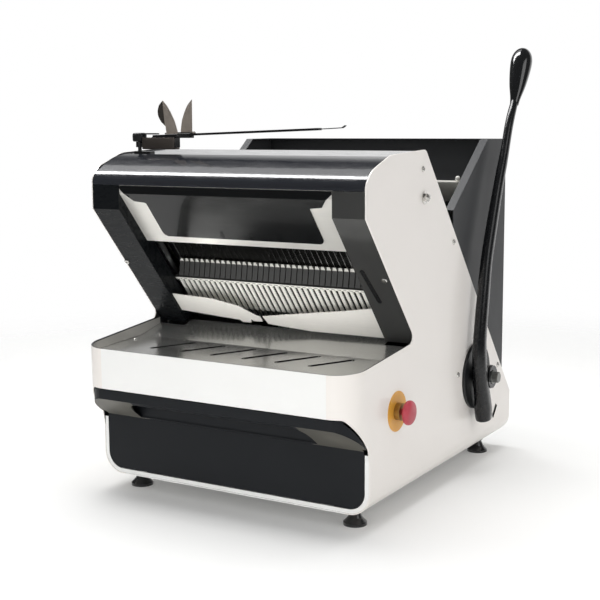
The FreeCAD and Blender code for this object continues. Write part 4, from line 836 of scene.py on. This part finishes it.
class SLICER_OT_tray_marks(bpy.types.Operator):
    """Dark rims of painted shade round the six slots of the tray, and its fixing screw"""
    bl_idname = "slicer.tray_marks"
    bl_label = "Tray slots"

    def execute(self, context):
        run = Vector((*SLOT_RUN, SLOT_RUN[1] * TRAY_RISE))
        up = Vector((0, -TRAY_RISE, 1)).normalized()
        across = up.cross(run).normalized()
        turn = Matrix((run.normalized(), across, up)).transposed().to_4x4()
        # Thin near-black rings laid round each slot, as painted shade.
        ring = long_blank(run.length * MM + SLOT_WIDTH, SLOT_WIDTH)
        bpy.ops.mesh.inset(thickness=0.0018)
        bpy.ops.mesh.delete(type="FACE")
        bpy.ops.object.mode_set(mode="OBJECT")
        refine(ring, "SOLIDIFY", thickness=0.0003, offset=1.0)
        places = []
        for i in range(TRAY_SLOTS):
            x, y = SLOT_START[0] + SLOT_PITCH * i + run.x / 2, SLOT_START[1] + run.y / 2
            places.append(Matrix.Translation(spot(x, y, tray_height(y))) @ turn)
        dress(place_copies(ring, "slot_edges", places), "recess", "base")
        sizes = context.scene.slicer_screws
        screw = button_screw(sizes.panel_radius * 0.8, sizes.panel_height * 0.8,
                             sizes.panel_radius * 0.4)
        place = [facing(spot(*TRAY_SCREW, tray_height(TRAY_SCREW[1])), up)]
        dress(place_copies(screw, "tray_screw", place), "bright", "base")
        return {"FINISHED"}


class SLICER_OT_bag_holder(bpy.types.Operator):
    """Steel sleeve, tongue and rubber pads of the bag holder's arm"""
    bl_idname = "slicer.bag_holder"
    bl_label = "Bag holder parts"

    def execute(self, context):
        sleeve = plain_box(*SLEEVE, 0.0015)
        sleeve.name = "bag_sleeve"
        dress(sleeve, "sleeve", "bag_holder")
        tongue = plain_box(*TONGUE, 0.0006)
        tongue.name = "bag_tongue"
        dress(tongue, "gloss", "bag_holder")
        pads = join([plain_box(low, high, 0.0008) for low, high in PADS])
        pads.name = "bag_pads"
        dress(pads, "rubber", "bag_holder")
        return {"FINISHED"}


class SLICER_OT_rear_screws(bpy.types.Operator):
    """Screws of the rear cover, and its air slots as dark plates of painted shade"""
    bl_idname = "slicer.rear_screws"
    bl_label = "Rear cover parts"

    def execute(self, context):
        sizes = context.scene.slicer_screws
        low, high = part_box("rear_cover")
        places = []
        for x in (low.x + COVER_INSET, high.x - COVER_INSET):
            for z in (low.z + COVER_INSET, high.z - COVER_INSET):
                places.append(facing(Vector((x, high.y, z)), BACK, x * 9))
        screw = pan_screw(sizes.panel_radius * 0.9, sizes.panel_height * 0.7)
        dress(place_copies(screw, "rear_screws", places), "bright", "base")
        # The air slots are dark plates, standing in for the shade in the openings.
        slot = long_blank(*AIR_SLOT)
        bpy.ops.mesh.inset(thickness=0.0008)
        raise_faces(0.0006)
        bpy.ops.object.mode_set(mode="OBJECT")
        places = []
        for column in AIR_COLUMNS:
            for row in range(AIR_ROWS):
                x, z = (low.x + high.x) / 2 + column, low.z + AIR_FOOT + row * AIR_PITCH
                places.append(facing(Vector((x, high.y, z)), BACK))
        dress(place_copies(slot, "air_slots", places), "recess", "base")
        return {"FINISHED"}


class SLICER_OT_stage(bpy.types.Operator):
    """Camera, floor, backdrop light and lamps"""
    bl_idname = "slicer.stage"
    bl_label = "Stage"

    def execute(self, context):
        values = context.scene.slicer_stage
        self.camera(context, values)
        self.floor(values)
        self.world(context, values)
        self.lamps(values)
        context.scene.view_settings.view_transform = "Standard"
        return {"FINISHED"}

    def camera(self, context, values):
        yaw, pitch, roll = (math.radians(angle) for angle in CAMERA_ANGLES)
        back = Vector((math.sin(yaw) * math.cos(pitch), -math.cos(yaw) * math.cos(pitch),
                       math.sin(pitch)))
        side = Vector((math.cos(yaw), math.sin(yaw), 0.0))
        up = back.cross(side)
        right = side * math.cos(roll) + up * math.sin(roll)
        top = up * math.cos(roll) - side * math.sin(roll)
        data = bpy.data.cameras.new("camera")
        data.lens = values.lens
        data.sensor_width = SENSOR_WIDTH
        camera = bpy.data.objects.new("camera", data)
        context.collection.objects.link(camera)
        turn = Matrix((right, top, back)).transposed().to_4x4()
        camera.matrix_world = Matrix.Translation(spot(*CAMERA_PLACE)) @ turn
        context.scene.camera = camera

    def floor(self, values):
        """Pale disc that takes the shadow and fades into the white background."""
        clear_pick()
        bpy.ops.mesh.primitive_circle_add(vertices=96, radius=values.reach, fill_type="NGON")
        floor = bpy.context.object
        floor.name = "floor"
        surface = Surface("floor_pale", tuple(values.floor), 0.9, specular=0.1)
        seen = surface.rays()[1]
        surface.links.new(surface.maths("MULTIPLY", seen, values.glow),
                          surface.shader.inputs["Emission Strength"])
        surface.shader.inputs["Emission Color"].default_value = (1, 1, 1, 1)
        across = surface.add("ShaderNodeVectorMath", {0: surface.place}, operation="LENGTH")
        rim = surface.ramp(across.outputs["Value"], values.reach * 0.42, values.reach * 0.92,
                           interpolation_type="SMOOTHSTEP")
        surface.links.new(surface.inverse(rim), surface.shader.inputs["Alpha"])
        floor.data.materials.append(surface.material)

    def world(self, context, values):
        """White background; in reflections only behind the machine, with dark flags elsewhere."""
        world = bpy.data.worlds.new("studio")
        context.scene.world = world
        world.use_nodes = True
        studio = Network(world.node_tree)
        look = studio.add("ShaderNodeTexCoord").outputs["Generated"]
        fade = studio.ramp(studio.dot(look, tuple(BACK)), 0.62, 0.86, values.front, 1.0,
                           interpolation_type="SMOOTHSTEP")
        mirror, seen = studio.rays()
        dim = studio.maths("MULTIPLY", mirror, studio.inverse(fade))
        level = studio.ramp(seen, 0.0, 1.0, values.world, 1.0)
        back = studio.nodes["Background"]
        studio.links.new(studio.inverse(dim), back.inputs["Color"])
        studio.links.new(level, back.inputs["Strength"])

    def lamps(self, values):
        """Area lamps: name, power, size, place, aim, seen in reflections, lights matt surfaces."""
        stripe, haze = (-1.4, -0.15), (-1.4, 0.52)
        for name, power, size, place, aim, shiny, soft in (
            ("key", values.key, (1.5, 1.2), (0.5, -3.1, 0.95), (0, 0, 0.3), True, True),
            ("low", values.low, (1.0, 0.4), (0.1, -1.5, 0.10), (0, -0.1, 0.42), False, True),
            ("bounce", values.bounce, (0.40, 0.07), (-0.02, -0.27, 0.31), (-0.02, -0.12, 0.40),
             False, True),
            ("fill", values.fill, (1.4, 1.8), (2.6, -0.6, 1.4), (0, 0, 0.3), True, True),
            ("top", values.top, (2.4, 1.8), (-0.3, 0.1, 2.8), (-0.3, 0.1, 0), False, True),
            ("stripe", values.stripe, (2.8, 0.60), (*stripe, 2.4), (*stripe, 0), True, False),
            ("haze", values.stripe * 0.10, (2.8, 0.7), (*haze, 2.4), (*haze, 0), True, False),
        ):
            data = bpy.data.lights.new(name, "AREA")
            data.shape = "RECTANGLE"
            data.size, data.size_y = size
            data.energy = power
            lamp = bpy.data.objects.new(name, data)
            bpy.context.collection.objects.link(lamp)
            lamp.matrix_world = facing(Vector(place), Vector(place) - Vector(aim))
            lamp.visible_glossy = shiny
            lamp.visible_diffuse = soft
            lamp.visible_camera = False


class SLICER_PT_panel(bpy.types.Panel):
    """Lists the pieces of the slicer"""
    bl_idname = "SLICER_PT_panel"
    bl_label = "Frame bread slicer"
    bl_space_type = "VIEW_3D"
    bl_region_type = "UI"
    bl_category = "Slicer"

    def draw(self, context):
        for step in STEPS:
            self.layout.operator(step.bl_idname)


STEPS = (
    SLICER_OT_finishes, SLICER_OT_panel_screws, SLICER_OT_hood_bolt, SLICER_OT_strip_screws,
    SLICER_OT_tray_marks, SLICER_OT_bag_holder, SLICER_OT_rear_screws, SLICER_OT_stage,
)
GROUPS = (
    ("slicer_colours", SlicerColours),
    ("slicer_screws", SlicerScrews),
    ("slicer_stage", SlicerStage),
)


def register():
    for name, group in GROUPS:
        bpy.utils.register_class(group)
        setattr(bpy.types.Scene, name, bpy.props.PointerProperty(type=group))
    for step in STEPS:
        bpy.utils.register_class(step)
    bpy.utils.register_class(SLICER_PT_panel)


def unregister():
    bpy.utils.unregister_class(SLICER_PT_panel)
    for step in reversed(STEPS):
        bpy.utils.unregister_class(step)
    for name, group in reversed(GROUPS):
        delattr(bpy.types.Scene, name)
        bpy.utils.unregister_class(group)


def main():
    register()
    for step in STEPS:
        area, name = step.bl_idname.split(".")
        getattr(getattr(bpy.ops, area), name)()


if __name__ == "__main__":
    main()
